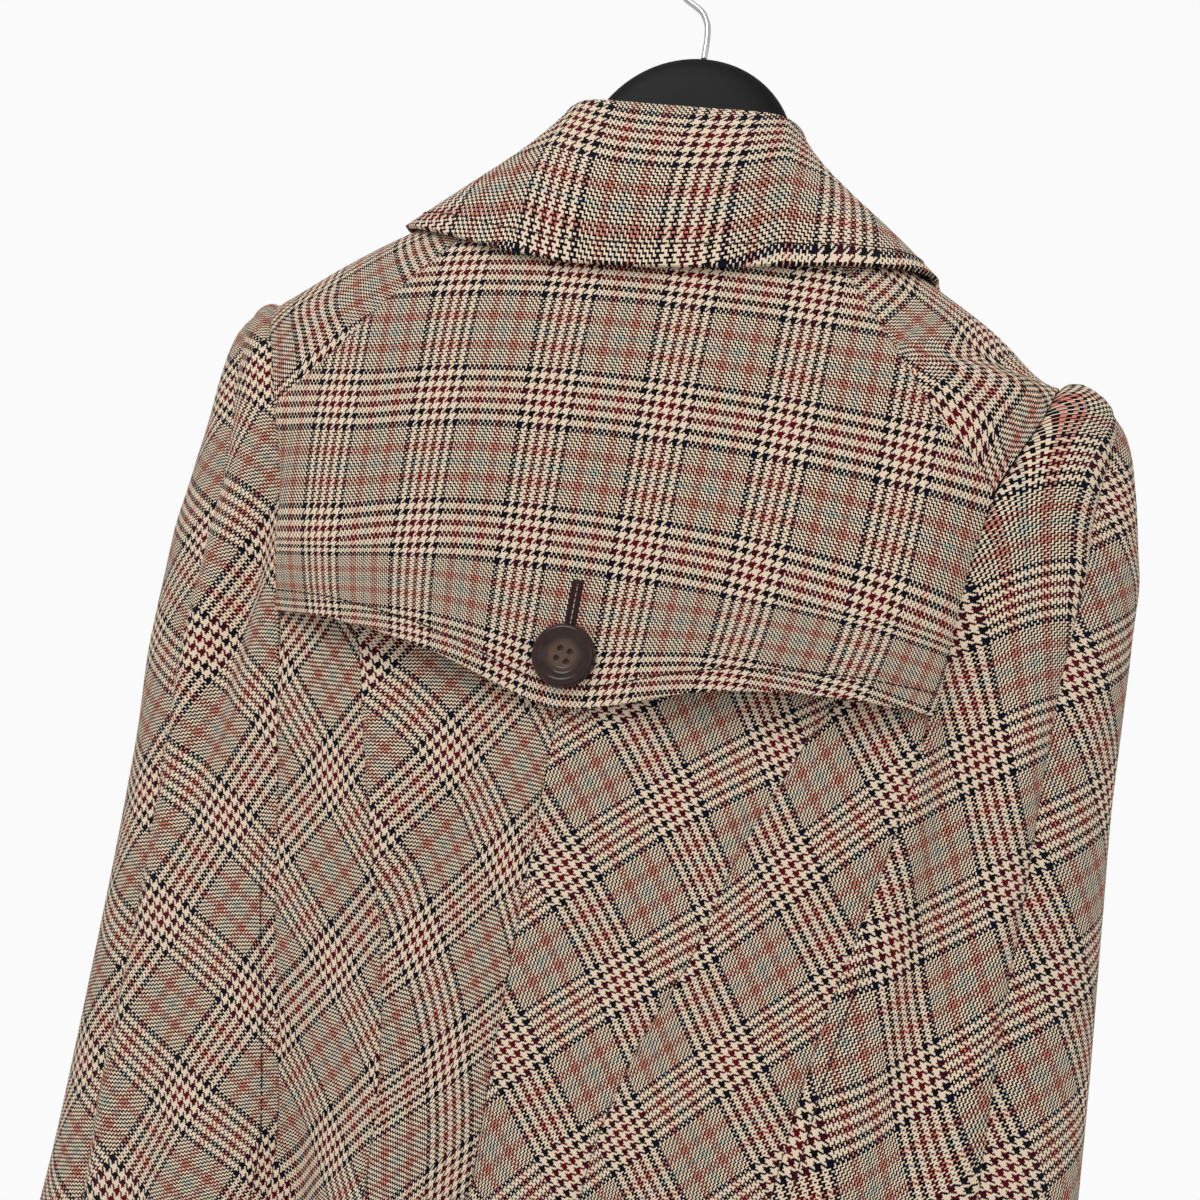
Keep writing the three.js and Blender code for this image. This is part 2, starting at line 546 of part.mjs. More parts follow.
function collarProfile(sign, t) {
  const rise = COLLAR_SEAT + 2.4 * bell(t - 0.67, 0.05);
  const seat = collarFoot(t, rise);
  const foot = collarFoot(t, rise + 3);
  const fold = new THREE.Vector3(
    lookUp(COLLAR_FOLD, 't', sideOf(sign), t),
    lookUp(COLLAR_FOLD, 't', 'y', t),
    lookUp(COLLAR_FOLD, 't', 'z', t),
  );
  const edgeAngle = THREE.MathUtils.degToRad(lookUp(COLLAR_EDGE, 't', 'deg', t));
  const edgeZ = lookUp(COLLAR_EDGE, 't', sideOf(sign), t);
  const normal = outward(edgeAngle, edgeZ);
  const clearance = COLLAR_CLEARANCE + FRONT_LIFT * ease(0.7, 0.86, t);
  const edge = skin(edgeAngle, edgeZ).addScaledVector(normal, clearance);
  const away = new THREE.Vector3(edge.x - fold.x, edge.y - fold.y, 0).normalize();
  const roll = mix(COLLAR_ROLL, 4, ease(0.7, 1, t));
  const shoulder = fold.clone().addScaledVector(away, roll).add(new THREE.Vector3(0, 0, -roll * 0.6));
  const standTop = fold.clone().add(new THREE.Vector3(0, 0, -roll * 0.6));
  const points = [seat, foot, foot.clone().lerp(standTop, 0.5), standTop];
  points.push(fold.clone().addScaledVector(away, roll * 0.5));
  points.push(shoulder);
  for (const s of [0.2, 0.4, 0.6, 0.8, 1]) {
    const bulge = 3 * Math.sin(Math.PI * s);
    const point = shoulder.clone().lerp(edge, s).addScaledVector(away, bulge);
    point.z += bulge;
    points.push(point);
  }
  for (const point of points) point.x *= sign;
  return points;
}

// Moves each grid point along the grid's own normal
function offsetGrid(grid, distance) {
  const pick = (i, j) => grid[THREE.MathUtils.clamp(i, 0, grid.length - 1)][
    THREE.MathUtils.clamp(j, 0, grid[0].length - 1)];
  return grid.map((row, i) => row.map((point, j) => {
    const along = pick(i + 1, j).clone().sub(pick(i - 1, j));
    const across = pick(i, j + 1).clone().sub(pick(i, j - 1));
    const normal = new THREE.Vector3().crossVectors(along, across).normalize();
    return point.clone().addScaledVector(normal, distance);
  }));
}

function collar() {
  const grid = [];
  for (let k = -COLLAR_STEPS; k <= COLLAR_STEPS; k += 1) {
    grid.push(collarProfile(k < 0 ? -1 : 1, Math.abs(k) / COLLAR_STEPS));
  }
  const outer = offsetGrid(grid, WALL / 2);
  return pieceMesh('collar', wallGeometry(outer, offsetGrid(grid, -WALL / 2)), clothLook);
}

// A dished horn button with a raised rim, set on a point of the cloth and facing along its normal
function button(name, seat, normal) {
  const profile = [
    [0, 0], [BUTTON_RADIUS - 3, 0], [BUTTON_RADIUS - 0.8, 1.2], [BUTTON_RADIUS, 2.6],
    [BUTTON_RADIUS - 0.9, BUTTON_THICKNESS - 0.2], [BUTTON_RADIUS - 2, BUTTON_THICKNESS],
    [BUTTON_RADIUS - 3.6, BUTTON_THICKNESS - 1], [BUTTON_RADIUS - 6, BUTTON_THICKNESS - 1.9],
    [0, BUTTON_THICKNESS - 2.1],
  ].map(([r, h]) => new THREE.Vector2(r, h));
  const geometry = new THREE.LatheGeometry(profile, 20);
  const mesh = pieceMesh(name, geometry, hornLook);
  mesh.quaternion.setFromUnitVectors(new THREE.Vector3(0, 1, 0), normal);
  mesh.position.copy(seat).addScaledVector(normal, 2 * SEAM_GAP);
  return mesh;
}

function buttons() {
  const share = (z) => (PRINCESS_TOP_Z - z) / (PRINCESS_TOP_Z - flapEdgeZ(1, 0));
  const onFlap = (z) => skin(0, z).addScaledVector(outward(0, z), flapLift(0, share(z)));
  const drop = onFlap(BACK_BUTTON_Z + BUTTON_RADIUS).sub(onFlap(BACK_BUTTON_Z - BUTTON_RADIUS)).normalize();
  const list = [button('button_back', onFlap(BACK_BUTTON_Z), new THREE.Vector3(0, drop.z, -drop.y))];
  FRONT_BUTTON_HEIGHTS.forEach((z, i) => {
    const normal = outward(Math.PI, z);
    const seat = skin(Math.PI, z).addScaledVector(normal, FRONT_LIFT);
    list.push(button(`button_front_${i + 1}`, seat, normal));
  });
  return list;
}

// The hanger: a solid lofted along X, with a round head and arms that follow the shoulders
function hangerStations() {
  const stations = [];
  for (const x of [0, 10, 20, 29, 36, 42, 46.5, 50, 52, 52.9]) {
    const top = DOME_TOP_Z - DOME_RADIUS + Math.sqrt(DOME_RADIUS ** 2 - x * x);
    const share = x / DOME_RADIUS;
    stations.push({ x, y: 0, top, bottom: mix(-196, -194, share), deep: mix(8, 9, share) });
  }
  stations.push({ x: 54.5, y: 0, top: -140, bottom: -193.5, deep: 9 });
  const first = YOKE_ROWS.indexOf(-165);
  for (let row = first; row < YOKE_ROWS.length; row += 1) {
    const { angle, z } = yokePlace(1, 0, row);
    const seat = HANGER_SEAT * mix(1, 3, ease(-185, -210, z));
    const crest = skin(angle, z).addScaledVector(outward(angle, z), -(WALL + seat));
    const along = clamp01((crest.x - 54.5) / 131);
    if (crest.x <= stations[stations.length - 1].x + 1.5) continue;
    stations.push({
      x: crest.x,
      y: 0,
      top: crest.z,
      bottom: crest.z - mix(46, 20, ease(0, 0.9, along)),
      deep: mix(9, 14, along),
    });
  }
  const tip = stations[stations.length - 1];
  stations.push({ x: tip.x + 1.5, y: 0, top: tip.top - 5, bottom: tip.bottom + 4, deep: tip.deep - 6 });
  return stations;
}

function hangerBody() {
  const right = hangerStations();
  const all = [...right.slice(1).reverse().map((s) => ({ ...s, x: -s.x })), ...right];
  const ringSize = 14;
  const points = [];
  for (const s of all) {
    const middle = (s.top + s.bottom) / 2;
    const high = (s.top - s.bottom) / 2;
    for (let k = 0; k < ringSize; k += 1) {
      const a = (k / ringSize) * 2 * Math.PI;
      const round = (Math.abs(Math.sin(a)) ** 2.3 + Math.abs(Math.cos(a)) ** 2.3) ** (-1 / 2.3);
      points.push(new THREE.Vector3(s.x, s.deep * round * Math.sin(a), middle + high * round * Math.cos(a)));
    }
  }
  const faces = [];
  for (let i = 0; i < all.length - 1; i += 1) {
    for (let k = 0; k < ringSize; k += 1) {
      const a = i * ringSize + k;
      const b = i * ringSize + ((k + 1) % ringSize);
      faces.push(a, b, b + ringSize, a, b + ringSize, a + ringSize);
    }
  }
  const last = (all.length - 1) * ringSize;
  for (let k = 1; k < ringSize - 1; k += 1) {
    faces.push(0, k + 1, k, last, last + k, last + k + 1);
  }
  return pieceMesh('hanger_body', solidGeometry(points, faces), plasticLook);
}

// The wire hook: a straight stem, a bend to the wearer's left and a round loop
function hangerHook() {
  const centreZ = WIRE_RADIUS - HOOK_RADIUS;
  const points = [
    [0, DOME_TOP_Z + SEAM_GAP],
    [0, DOME_TOP_Z + 8],
    [0.6, DOME_TOP_Z + 16],
    [4, DOME_TOP_Z + 24],
  ];
  for (let deg = -48; deg <= 204; deg += 18) {
    const a = THREE.MathUtils.degToRad(deg);
    points.push([HOOK_RADIUS * Math.cos(a), centreZ + HOOK_RADIUS * Math.sin(a)]);
  }
  const places = points.map(([x, z]) => new THREE.Vector3(x, 0, z));
  const path = new THREE.CatmullRomCurve3(places, false, 'centripetal');
  const circle = new THREE.Shape().absarc(0, 0, WIRE_RADIUS, 0, 2 * Math.PI, false);
  const geometry = new THREE.ExtrudeGeometry(circle, { steps: 44, curveSegments: 5, extrudePath: path });
  return pieceMesh('hanger_hook', geometry, wireLook);
}

const group = new THREE.Group();
for (const side of SIDES) {
  group.add(backPanel(side), sideBackPanel(side), ...capePanels(side), frontPanel(side), yokePanel(side));
}
group.add(stormFlap(), collar(), ...buttons(), hangerBody(), hangerHook());

export default group;
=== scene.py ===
"""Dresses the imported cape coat: checked cloth, stitching, horn buttons and the hanger.

Lengths in the tables are millimetres in the part's frame, and Blender gets metres. Every cloth
panel is a wall on one common skin, given by a girth angle (0 at the centre back, +90 degrees at
the wearer's left, 180 at the centre front) and a height.
"""
import logging
import math
from dataclasses import dataclass, field
from enum import Enum
from typing import Callable, Sequence

import bpy
import numpy as np
from mathutils import Matrix


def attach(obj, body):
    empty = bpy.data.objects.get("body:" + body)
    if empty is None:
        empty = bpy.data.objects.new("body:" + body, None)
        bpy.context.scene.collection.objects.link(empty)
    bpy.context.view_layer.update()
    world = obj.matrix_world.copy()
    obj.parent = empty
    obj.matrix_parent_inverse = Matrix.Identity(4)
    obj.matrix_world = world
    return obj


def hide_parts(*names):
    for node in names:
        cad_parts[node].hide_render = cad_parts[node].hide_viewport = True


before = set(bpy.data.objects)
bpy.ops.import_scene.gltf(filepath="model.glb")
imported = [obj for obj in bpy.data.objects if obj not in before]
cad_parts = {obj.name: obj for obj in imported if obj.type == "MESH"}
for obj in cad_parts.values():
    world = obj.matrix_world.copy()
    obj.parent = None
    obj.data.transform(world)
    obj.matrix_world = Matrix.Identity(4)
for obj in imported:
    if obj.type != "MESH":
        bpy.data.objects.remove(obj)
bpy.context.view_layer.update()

log = logging.getLogger("cape_coat")

MM = 0.001
WALL = 2.0
SEAM_GAP = 0.3
HEM_Z = -1010.0
BACK_NECK_Z = -150.0
SIDE_NECK_Z = -141.0
FRONT_NECK_Z = -209.0
FRONT_YOKE_Z = -155.0
SHOULDER_END_Z = -220.5
YOKE_END_Z = -279.5
PRINCESS_TOP_Z = -345.0
FRONT_LAP = 25.0
FRONT_LIFT = 3.0
GRID_STEP = 4.5
THREAD = 0.6
SEAM_DIP = 0.9
SEAM_DIP_WIDTH = 2.2
Array = np.ndarray
Colour = tuple[float, float, float]


class Side(Enum):
    """The wearer's sides, with the sign of X there."""

    LEFT = 1
    RIGHT = -1

    @property
    def word(self) -> str:
        """The side's name as the nodes write it."""
        return self.name.lower()


class Face(Enum):
    """The half of the skin behind or before the hanger's plane."""

    BACK = 1
    FRONT = -1


def ease(start: float, end: float, value: Array) -> Array:
    """Smooth step: t = clip((value - start) / (end - start)), then t * t * (3 - 2 t)."""
    t = np.clip((np.asarray(value, float) - start) / (end - start), 0.0, 1.0)
    return t * t * (3.0 - 2.0 * t)


def mix(a: Array, b: Array, share: Array) -> Array:
    """Straight blend: a + (b - a) * share."""
    return a + (b - a) * share


def bell(away: Array, width: float) -> Array:
    """Bell curve: exp(-(away / width) squared)."""
    return np.exp(-((away / width) ** 2))


def unit(vectors: Array) -> Array:
    """Vectors divided by their own lengths."""
    return vectors / np.maximum(np.linalg.norm(vectors, axis=-1, keepdims=True), 1e-12)


@dataclass(frozen=True)
class Table:
    """A short table of numbers with named columns, read smoothly between its rows."""

    columns: tuple[str, ...]
    rows: tuple[tuple[float, ...], ...]

    def column(self, name: str) -> Array:
        """All values of one column."""
        return np.array([row[self.columns.index(name)] for row in self.rows], float)

    def smooth(self, name: str, at: Array) -> Array:
        """Reads a column at places of the first column.

        Cubic pieces between the rows. The slope at a row is the harmonic mean of its two
        neighbouring slopes, or 0 where they differ in sign, so the curve never overshoots.

        Args:
            name: the column to read.
            at: places in the first column, of any shape.

        Returns:
            The values, shaped as at.
        """
        at = np.asarray(at, float)
        keys, values = self.column(self.columns[0]), self.column(name)
        if keys[0] > keys[-1]:
            keys, at = -keys, -at
        step = np.diff(keys)
        slope = np.diff(values) / step
        tangent = np.concatenate([slope[:1], np.zeros(len(slope) - 1), slope[-1:]])
        before, after = slope[:-1], slope[1:]
        same = before * after > 0
        total = np.where(same, before + after, 1.0)
        tangent[1:-1] = np.where(same, 2 * before * after / total, 0.0)
        i = np.clip(np.searchsorted(keys, at, side="right") - 1, 0, len(step) - 1)
        t = np.clip((at - keys[i]) / step[i], 0.0, 1.0)
        return (
            (2 * t**3 - 3 * t**2 + 1) * values[i]
            + (t**3 - 2 * t**2 + t) * step[i] * tangent[i]
            + (3 * t**2 - 2 * t**3) * values[i + 1]
            + (t**3 - t**2) * step[i] * tangent[i + 1]
        )


SECTIONS = Table(
    ("z", "left", "right", "back", "front", "power"),
    (
        (-141, 64, 64, 34, 34, 2.0), (-158, 98, 98, 45, 41, 2.1), (-177, 131, 131, 54, 45, 2.2),
        (-197, 161, 162, 60, 50, 2.25), (-220.5, 192, 192, 65, 55, 2.2),
        (-224, 196.5, 204, 65.6, 55.7, 2.2), (-231, 202.5, 214, 66.7, 57, 2.2),
        (-243, 208, 220, 68.5, 59, 2.15), (-259, 211.5, 225, 70, 62, 2.15),
        (-285, 216, 232, 72, 65, 2.15), (-310, 221, 237.5, 73, 68, 2.2),
        (-345, 225.5, 238.5, 74, 71, 2.25), (-395, 225.5, 238.5, 76, 75, 2.3),
        (-450, 221.5, 240.5, 79, 78, 2.3), (-530, 219.5, 244, 83.5, 83, 2.3),
        (-620, 219, 246.5, 89, 89, 2.3), (-800, 232, 254, 102, 100, 2.25),
        (-1010, 256, 270, 118, 114, 2.2),
    ),
)
YOKE_SEAM = Table(
    ("z", "left", "right"),
    (
        (-150, 60, 60), (-172, 79, 79), (-195, 98, 98), (-213, 111.5, 111.5), (-234, 127.5, 127.5),
        (-249, 139.5, 139.5), (-263, 153, 153), (-279.5, 169, 169),
    ),
)
FRONT_YOKE_SEAM = Table(
    ("z", "left", "right"),
    ((-155, 58, 58), (-181, 84, 84), (-220.5, 118, 118), (-250, 142, 142), (-279.5, 166, 166)),
)
ARMHOLE = Table(
    ("z", "left", "right"),
    (
        (-220.5, 192, 192), (-243, 183, 185), (-259, 176, 178), (-279.5, 169, 170), (-310, 159, 164),
        (-345, 149, 160), (-380, 139.5, 156.5), (-420, 130, 150.5), (-455, 121, 143), (-505, 110, 132),
        (-560, 97, 123), (-620, 88, 117), (-700, 90, 118), (-845, 122, 138), (-1010, 160, 168),
    ),
)
FRONT_ARMHOLE = Table(
    ("z", "left", "right"),
    (
        (-220.5, 192, 192), (-243, 182, 182), (-259, 174, 174), (-279.5, 166, 166), (-310, 156, 156),
        (-345, 149, 149), (-430, 140, 140), (-600, 134, 134), (-740, 140, 140), (-1010, 172, 172),
    ),
)
PRINCESS = Table(
    ("z", "left", "right"),
    (
        (-345, 146, 157), (-360, 123, 136), (-375, 105, 121), (-390, 96, 111), (-420, 87, 98.5),
        (-445, 79.5, 88), (-495, 64, 74), (-540, 50, 56.5), (-590, 42, 46), (-645, 39, 43),
        (-740, 47, 51), (-845, 62, 67), (-1010, 88, 92),
    ),
)
OVERARM = Table(
    ("z", "left", "right"),
    (
        (-220.5, 90, 90), (-231, 76, 83), (-248, 68, 74), (-265, 65, 68), (-285, 61.5, 64),
        (-325, 56, 60), (-370, 54.5, 57), (-430, 54.5, 55.5), (-500, 54.5, 53), (-590, 55, 52),
        (-660, 53, 53), (-1010, 58, 58),
    ),
)
FOLDS = Table(
    ("face", "depth", "width", "top_z", "top_x", "mid_z", "mid_x", "end_z", "end_x", "kept"),
    (
        (1, -9, 10, -262, 159, -365, 163, -520, 170, 0), (1, 4, 13, -290, 184, -390, 188, -600, 192, 0),
        (1, -9, 11, -255, -166, -360, -169, -720, -166, 0),
        (1, 4, 14, -300, -192, -400, -192, -640, -190, 0),
        (1, -5, 11, -405, 26, -470, 44, -560, 98, 0), (1, -11, 12, -525, 3, -690, -2, -1010, -12, 1),
        (1, 8, 17, -470, 52, -660, 38, -1010, 50, 1), (1, -13, 14, -520, 106, -650, 76, -1010, 98, 1),
        (1, 8, 19, -520, 140, -650, 122, -1010, 152, 1), (1, -10, 20, -600, 172, -820, 184, -1010, 206, 1),
        (1, -12, 18, -540, -44, -760, -60, -1010, -76, 1),
        (1, -13, 19, -560, -112, -760, -128, -1010, -152, 1),
        (1, -9, 20, -600, -182, -820, -196, -1010, -216, 1),
        (-1, -7, 13, -262, 158, -350, 162, -560, 168, 0),
        (-1, -7, 13, -262, -158, -350, -162, -560, -166, 0),
        (-1, -11, 20, -500, 66, -780, 80, -1010, 94, 1),
        (-1, -11, 19, -560, 176, -800, 192, -1010, 208, 1),
        (-1, -11, 20, -520, -74, -780, -88, -1010, -104, 1),
        (-1, -12, 19, -540, -178, -800, -192, -1010, -210, 1),
    ),
)
FLAP_EDGE = Table(
    ("x", "z"),
    (
        (0, -403.5), (10, -402.5), (20, -400), (36, -395), (54, -389.5), (72, -385.5), (100, -382),
        (126, -380.5), (150, -380),
    ),
)
COLLAR_FOLD = Table(
    ("t", "left", "right", "y", "z"),
    (
        (0, 0, 0, 37, -112), (0.1, 19, 19, 36, -111.5), (0.2, 37, 36, 32, -109.5), (0.3, 50, 48, 23, -107),
        (0.4, 57, 53, 12, -106.5), (0.5, 59, 54.5, -1, -109.5), (0.6, 56, 52.5, -16, -119),
        (0.7, 48, 46, -30, -136), (0.8, 37, 36, -41, -156), (0.9, 21, 21, -49, -176), (1, 3, 3, -54, -195),
    ),
)
COLLAR_EDGE = Table(
    ("t", "deg", "left", "right"),
    (
        (0, 0, -200.5, -200.5), (0.15, 11, -201.5, -197), (0.3, 23, -197.5, -192), (0.42, 36, -191, -186.5),
        (0.53, 56, -183, -180), (0.62, 90, -176.5, -175.5), (0.71, 126, -197, -197),
        (0.81, 144, -226, -226), (0.91, 153, -253, -253), (1, 159, -277, -277),
    ),
)


@dataclass(frozen=True)
class Skin:
    """The common surface on which every panel lies."""

    sections: Table = SECTIONS
    folds: Table = FOLDS

    def half_width(self, toward: Array, z: Array) -> Array:
        """Half the width on the side that toward's sign names."""
        left, right = self.sections.smooth("left", z), self.sections.smooth("right", z)
        return np.where(np.asarray(toward) >= 0, left, right)

    def fold_depth(self, x: Array, z: Array, cosine: Array) -> Array:
        """How far all folds together move the skin outwards.

        Each fold adds depth * bell(x - path) * rise along its height, on its own face only.
        """
        total = np.zeros(np.broadcast(x, z).shape)
        for row in self.folds.rows:
            face, depth, width, top_z, top_x, mid_z, mid_x, end_z, end_x, kept = row
            path = Table(("z", "x"), ((top_z, top_x), (mid_z, mid_x), (end_z, end_x)))
            along = ease(top_z, mid_z, z) * mix(1.0, kept, ease(mid_z, end_z, z))
            total += depth * bell(x - path.smooth("x", z), width) * along * ease(-0.05, 0.2, cosine * face)
        return total

    def point(self, angle: Array, z: Array) -> Array:
        """Points of the skin, in millimetres.

        A superellipse at each height: x = half * k * sin(angle), y = depth * k * cos(angle) with
        k = (|sin|^power + |cos|^power)^(-1 / power), then moved outwards by the folds.
        """
        angle, z = np.broadcast_arrays(np.asarray(angle, float), np.asarray(z, float))
        power = self.sections.smooth("power", z)
        s, c = np.sin(angle), np.cos(angle)
        size = (np.abs(s) ** power + np.abs(c) ** power) ** (-1.0 / power)
        half = self.half_width(s, z)
        depth = np.where(c >= 0, self.sections.smooth("back", z), self.sections.smooth("front", z))
        x, y = half * size * s, depth * size * c
        out = unit(np.stack([x / half**2, y / depth**2], axis=-1))
        fold = self.fold_depth(x, z, c)
        return np.stack([x + out[..., 0] * fold, y + out[..., 1] * fold, z], axis=-1)

    def outward(self, angle: Array, z: Array) -> Array:
        """The skin's outward direction: its slope round the girth crossed with its slope down."""
        around = self.point(angle + 0.004, z) - self.point(angle - 0.004, z)
        down = self.point(angle, z - 1.0) - self.point(angle, z + 1.0)
        return unit(np.cross(around, down))

    def angle_at(self, x: Array, z: Array, face: Face) -> Array:
        """The girth angle of a point given by its distance from the centre line and its height."""
        x, z = np.broadcast_arrays(np.asarray(x, float), np.asarray(z, float))
        power = self.sections.smooth("power", z)
        ratio = np.minimum(1.0, np.abs(x) / self.half_width(x, z))
        angle = np.arctan2(ratio, (1.0 - ratio**power) ** (1.0 / power))
        sign = np.where(x < 0, -1.0, 1.0)
        return sign * (angle if face is Face.BACK else math.pi - angle)

    def seam_angle(self, seam: Table, side: Side, z: Array, face: Face) -> Array:
        """The girth angle of a seam that is given by its distance from the centre line."""
        return self.angle_at(side.value * seam.smooth(side.word, z), z, face)


def grid_normals(grid: Array) -> Array:
    """Unit normals of a grid of points: its slope down the rows crossed with that along them."""
    return unit(np.cross(np.gradient(grid, axis=0), np.gradient(grid, axis=1)))


def arc(points: Array, axis: int) -> Array:
    """Length along a grid's rows or columns, from 0 at the first point."""
    step = np.linalg.norm(np.diff(points, axis=axis), axis=-1)
    start = np.zeros_like(np.take(step, [0], axis=axis))
    return np.concatenate([start, np.cumsum(step, axis=axis)], axis=axis)


def spread(start: float, end: float, step: float, fine: Sequence[float] = ()) -> Array:
    """Values from start to end about a step apart, with finer ones at set distances from end."""
    count = max(2, int(round(abs(end - start) / step)) + 1)
    values = np.linspace(start, end, count)
    near = end - np.sign(end - start) * np.asarray(fine, float)
    return np.unique(np.concatenate([values, near]))[:: 1 if end > start else -1]


@dataclass
class Wall:
    """A cloth wall between two matching grids of points, with its place on the flat cloth."""

    outer: Array
    inner: Array
    across: Array
    along: Array

    def flat_size(self) -> tuple[float, float, float]:
        """The cut's greatest width and length and its area, in metres and square metres."""
        width = float(arc(self.outer, 1)[:, -1].max()) * MM
        length = float(arc(self.outer, 0)[-1].max()) * MM
        a, b = np.diff(self.outer, axis=0)[:, :-1], np.diff(self.outer, axis=1)[:-1]
        area = float(np.linalg.norm(np.cross(a, b), axis=-1).sum()) * MM * MM
        return width, length, area

    def faces(self) -> Array:
        """Quads of the outer face, the inner face and the four edges."""
        rows, columns = self.outer.shape[:2]
        index = np.arange(rows * columns).reshape(rows, columns)
        under = index + rows * columns

        def quads(a: Array, b: Array, c: Array, d: Array) -> Array:
            """Corner numbers of a block of quads."""
            return np.stack([a.ravel(), b.ravel(), c.ravel(), d.ravel()], axis=1)

        blocks = [
            quads(index[:-1, :-1], index[1:, :-1], index[1:, 1:], index[:-1, 1:]),
            quads(under[:-1, :-1], under[:-1, 1:], under[1:, 1:], under[1:, :-1]),
            quads(index[:-1, 0], under[:-1, 0], under[1:, 0], index[1:, 0]),
            quads(index[:-1, -1], index[1:, -1], under[1:, -1], under[:-1, -1]),
            quads(index[0, :-1], index[0, 1:], under[0, 1:], under[0, :-1]),
            quads(index[-1, :-1], under[-1, :-1], under[-1, 1:], index[-1, 1:]),
        ]
        return np.concatenate(blocks)


def inset_line(wall: Wall, distance: float, from_bottom: bool = True) -> tuple[Array, Array]:
    """The line on a wall's outer face at a set distance from its bottom edge or its first column.

    The distance from the edge is the length between grid points, summed up each column or along
    each row, and the line's point lies straight between the two grid points around it.

    Args:
        wall: the wall.
        distance: the distance from the edge, in millimetres.
        from_bottom: whether the edge is the bottom row, and not the first column.

    Returns:
        The line's points and the cloth's outward direction at each.
    """
    if from_bottom:
        outer, inner = wall.outer[::-1], wall.inner[::-1]
    else:
        outer, inner = np.swapaxes(wall.outer, 0, 1), np.swapaxes(wall.inner, 0, 1)
    out = unit(outer - inner)
    length = arc(outer, 0)
    k = np.clip((length < distance).sum(0), 1, len(length) - 1)
    c = np.arange(outer.shape[1])
    share = np.clip((distance - length[k - 1, c]) / (length[k, c] - length[k - 1, c]), 0, 1)[:, None]
    line = mix(outer[k - 1, c], outer[k, c], share)
    normal = unit(mix(out[k - 1, c], out[k, c], share))
    return line, normal


def ring_quads(index: Array) -> Array:
    """Quads between neighbouring rings of corner numbers; the last axis runs round a ring."""
    nxt = np.roll(index, -1, axis=-1)
    corners = [index[..., :-1, :], nxt[..., :-1, :], nxt[..., 1:, :], index[..., 1:, :]]
    return np.stack(corners, -1).reshape(-1, 4)


def closed_loft(rings: Array, tips: Array) -> tuple[Array, Array]:
    """Rings of points joined in order, each end closed by a fan to its tip.

    Args:
        rings: points shaped (ring, place round it, 3).
        tips: the first and the last tip.

    Returns:
        Points and quads.
    """
    count, sides = rings.shape[:2]
    points = np.concatenate([rings.reshape(-1, 3), tips])
    index = np.arange(count * sides).reshape(count, sides)
    nxt = np.roll(index, -1, axis=1)
    first, last = np.full(sides, len(points) - 2), np.full(sides, len(points) - 1)
    start = np.stack([index[0], first, first, nxt[0]], -1)
    end = np.stack([index[-1], nxt[-1], last, last], -1)
    return points, np.concatenate([ring_quads(index), start, end])


def signed_volume(points: Array, quads: Array) -> float:
    """Volume inside a closed quad mesh, negative where its faces point inwards."""
    a, b, c, d = (points[quads[:, k]] for k in range(4))
    return float((np.cross(a, b) * c).sum() + (np.cross(a, c) * d).sum()) / 6.0


def mesh_piece(
    name: str, points: Array, quads: Array, uv: Array | None = None, sharp: float = 55.0
) -> bpy.types.Object:
    """Makes a piece at the origin from points in millimetres.

    Args:
        name: the piece's name.
        points: one row per vertex.
        quads: four corner numbers per face; a repeated last corner makes a triangle.
        uv: the place on the flat cloth of each vertex, in millimetres.
        sharp: the angle in degrees from which an edge stays sharp.

    Returns:
        The linked object, smooth shaded, with faces outwards.
    """
    if signed_volume(points, quads) < 0:
        quads = quads[:, ::-1]
    corners = [tuple(dict.fromkeys(q)) for q in quads.tolist()]
    mesh = bpy.data.meshes.new(name)
    mesh.from_pydata((points * MM).tolist(), [], [c for c in corners if len(c) > 2])
    mesh.validate()
    if uv is not None:
        layer = mesh.uv_layers.new(name="cloth")
        loops = np.zeros(len(mesh.loops), dtype=np.int32)
        mesh.loops.foreach_get("vertex_index", loops)
        layer.data.foreach_set("uv", (uv[loops] * MM).astype(np.float32).ravel())
    mesh.shade_smooth()
    mesh.set_sharp_from_angle(angle=math.radians(sharp))
    piece = bpy.data.objects.new(name, mesh)
    bpy.context.scene.collection.objects.link(piece)
    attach(piece, "root")
    return piece


@dataclass(frozen=True)
class Grain:
    """How a panel was laid on the check before it was cut, and how the cloth has stretched since.

    The number of the end and of the pick at a place of the panel are each a short polynomial of
    x and y, its distances across and along from the centre in units of 100 mm. The terms are
    1, x, y, then xx, xy, yy, then xxx, xxy, xyy, yyy. Outside the reach the curved terms level out.
    """

    centre: tuple[float, float]
    reach: tuple[float, float, float, float] = (-200.0, 0.0, 200.0, 900.0)
    ends: tuple[float, ...] = (0.0, 178.0, 0.0)
    picks: tuple[float, ...] = (0.0, 0.0, 151.0)
    settle: float = 14.0

    def held(self, value: Array, low: float, high: float) -> Array:
        """A value kept within low and high, past which it moves on by less than settle."""
        near = np.clip(value, low, high)
        return near + self.settle * np.tanh((value - near) / self.settle)

    def place(self, across: Array, along: Array) -> Array:
        """Cloth coordinates of panel coordinates.

        Args:
            across: distances across the panel, in millimetres.
            along: distances down the panel, in millimetres.

        Returns:
            One row per vertex: the numbers of the end and the pick there, times THREAD.
        """
        across, along = across.ravel(), along.ravel()
        x, y = (across - self.centre[0]) / 100, (along - self.centre[1]) / 100
        p = (self.held(across, self.reach[0], self.reach[2]) - self.centre[0]) / 100
        q = (self.held(along, self.reach[1], self.reach[3]) - self.centre[1]) / 100
        terms = [np.ones_like(x), x, y, p * p, p * q, q * q, p**3, p * p * q, p * q * q, q**3]
        threads = [sum(c * t for c, t in zip(family, terms)) for family in (self.ends, self.picks)]
        return np.stack(threads, axis=1) * THREAD


Place = Callable[[Array, Array], tuple[Array, Array]]
Lift = Callable[[Array, Array], Array]


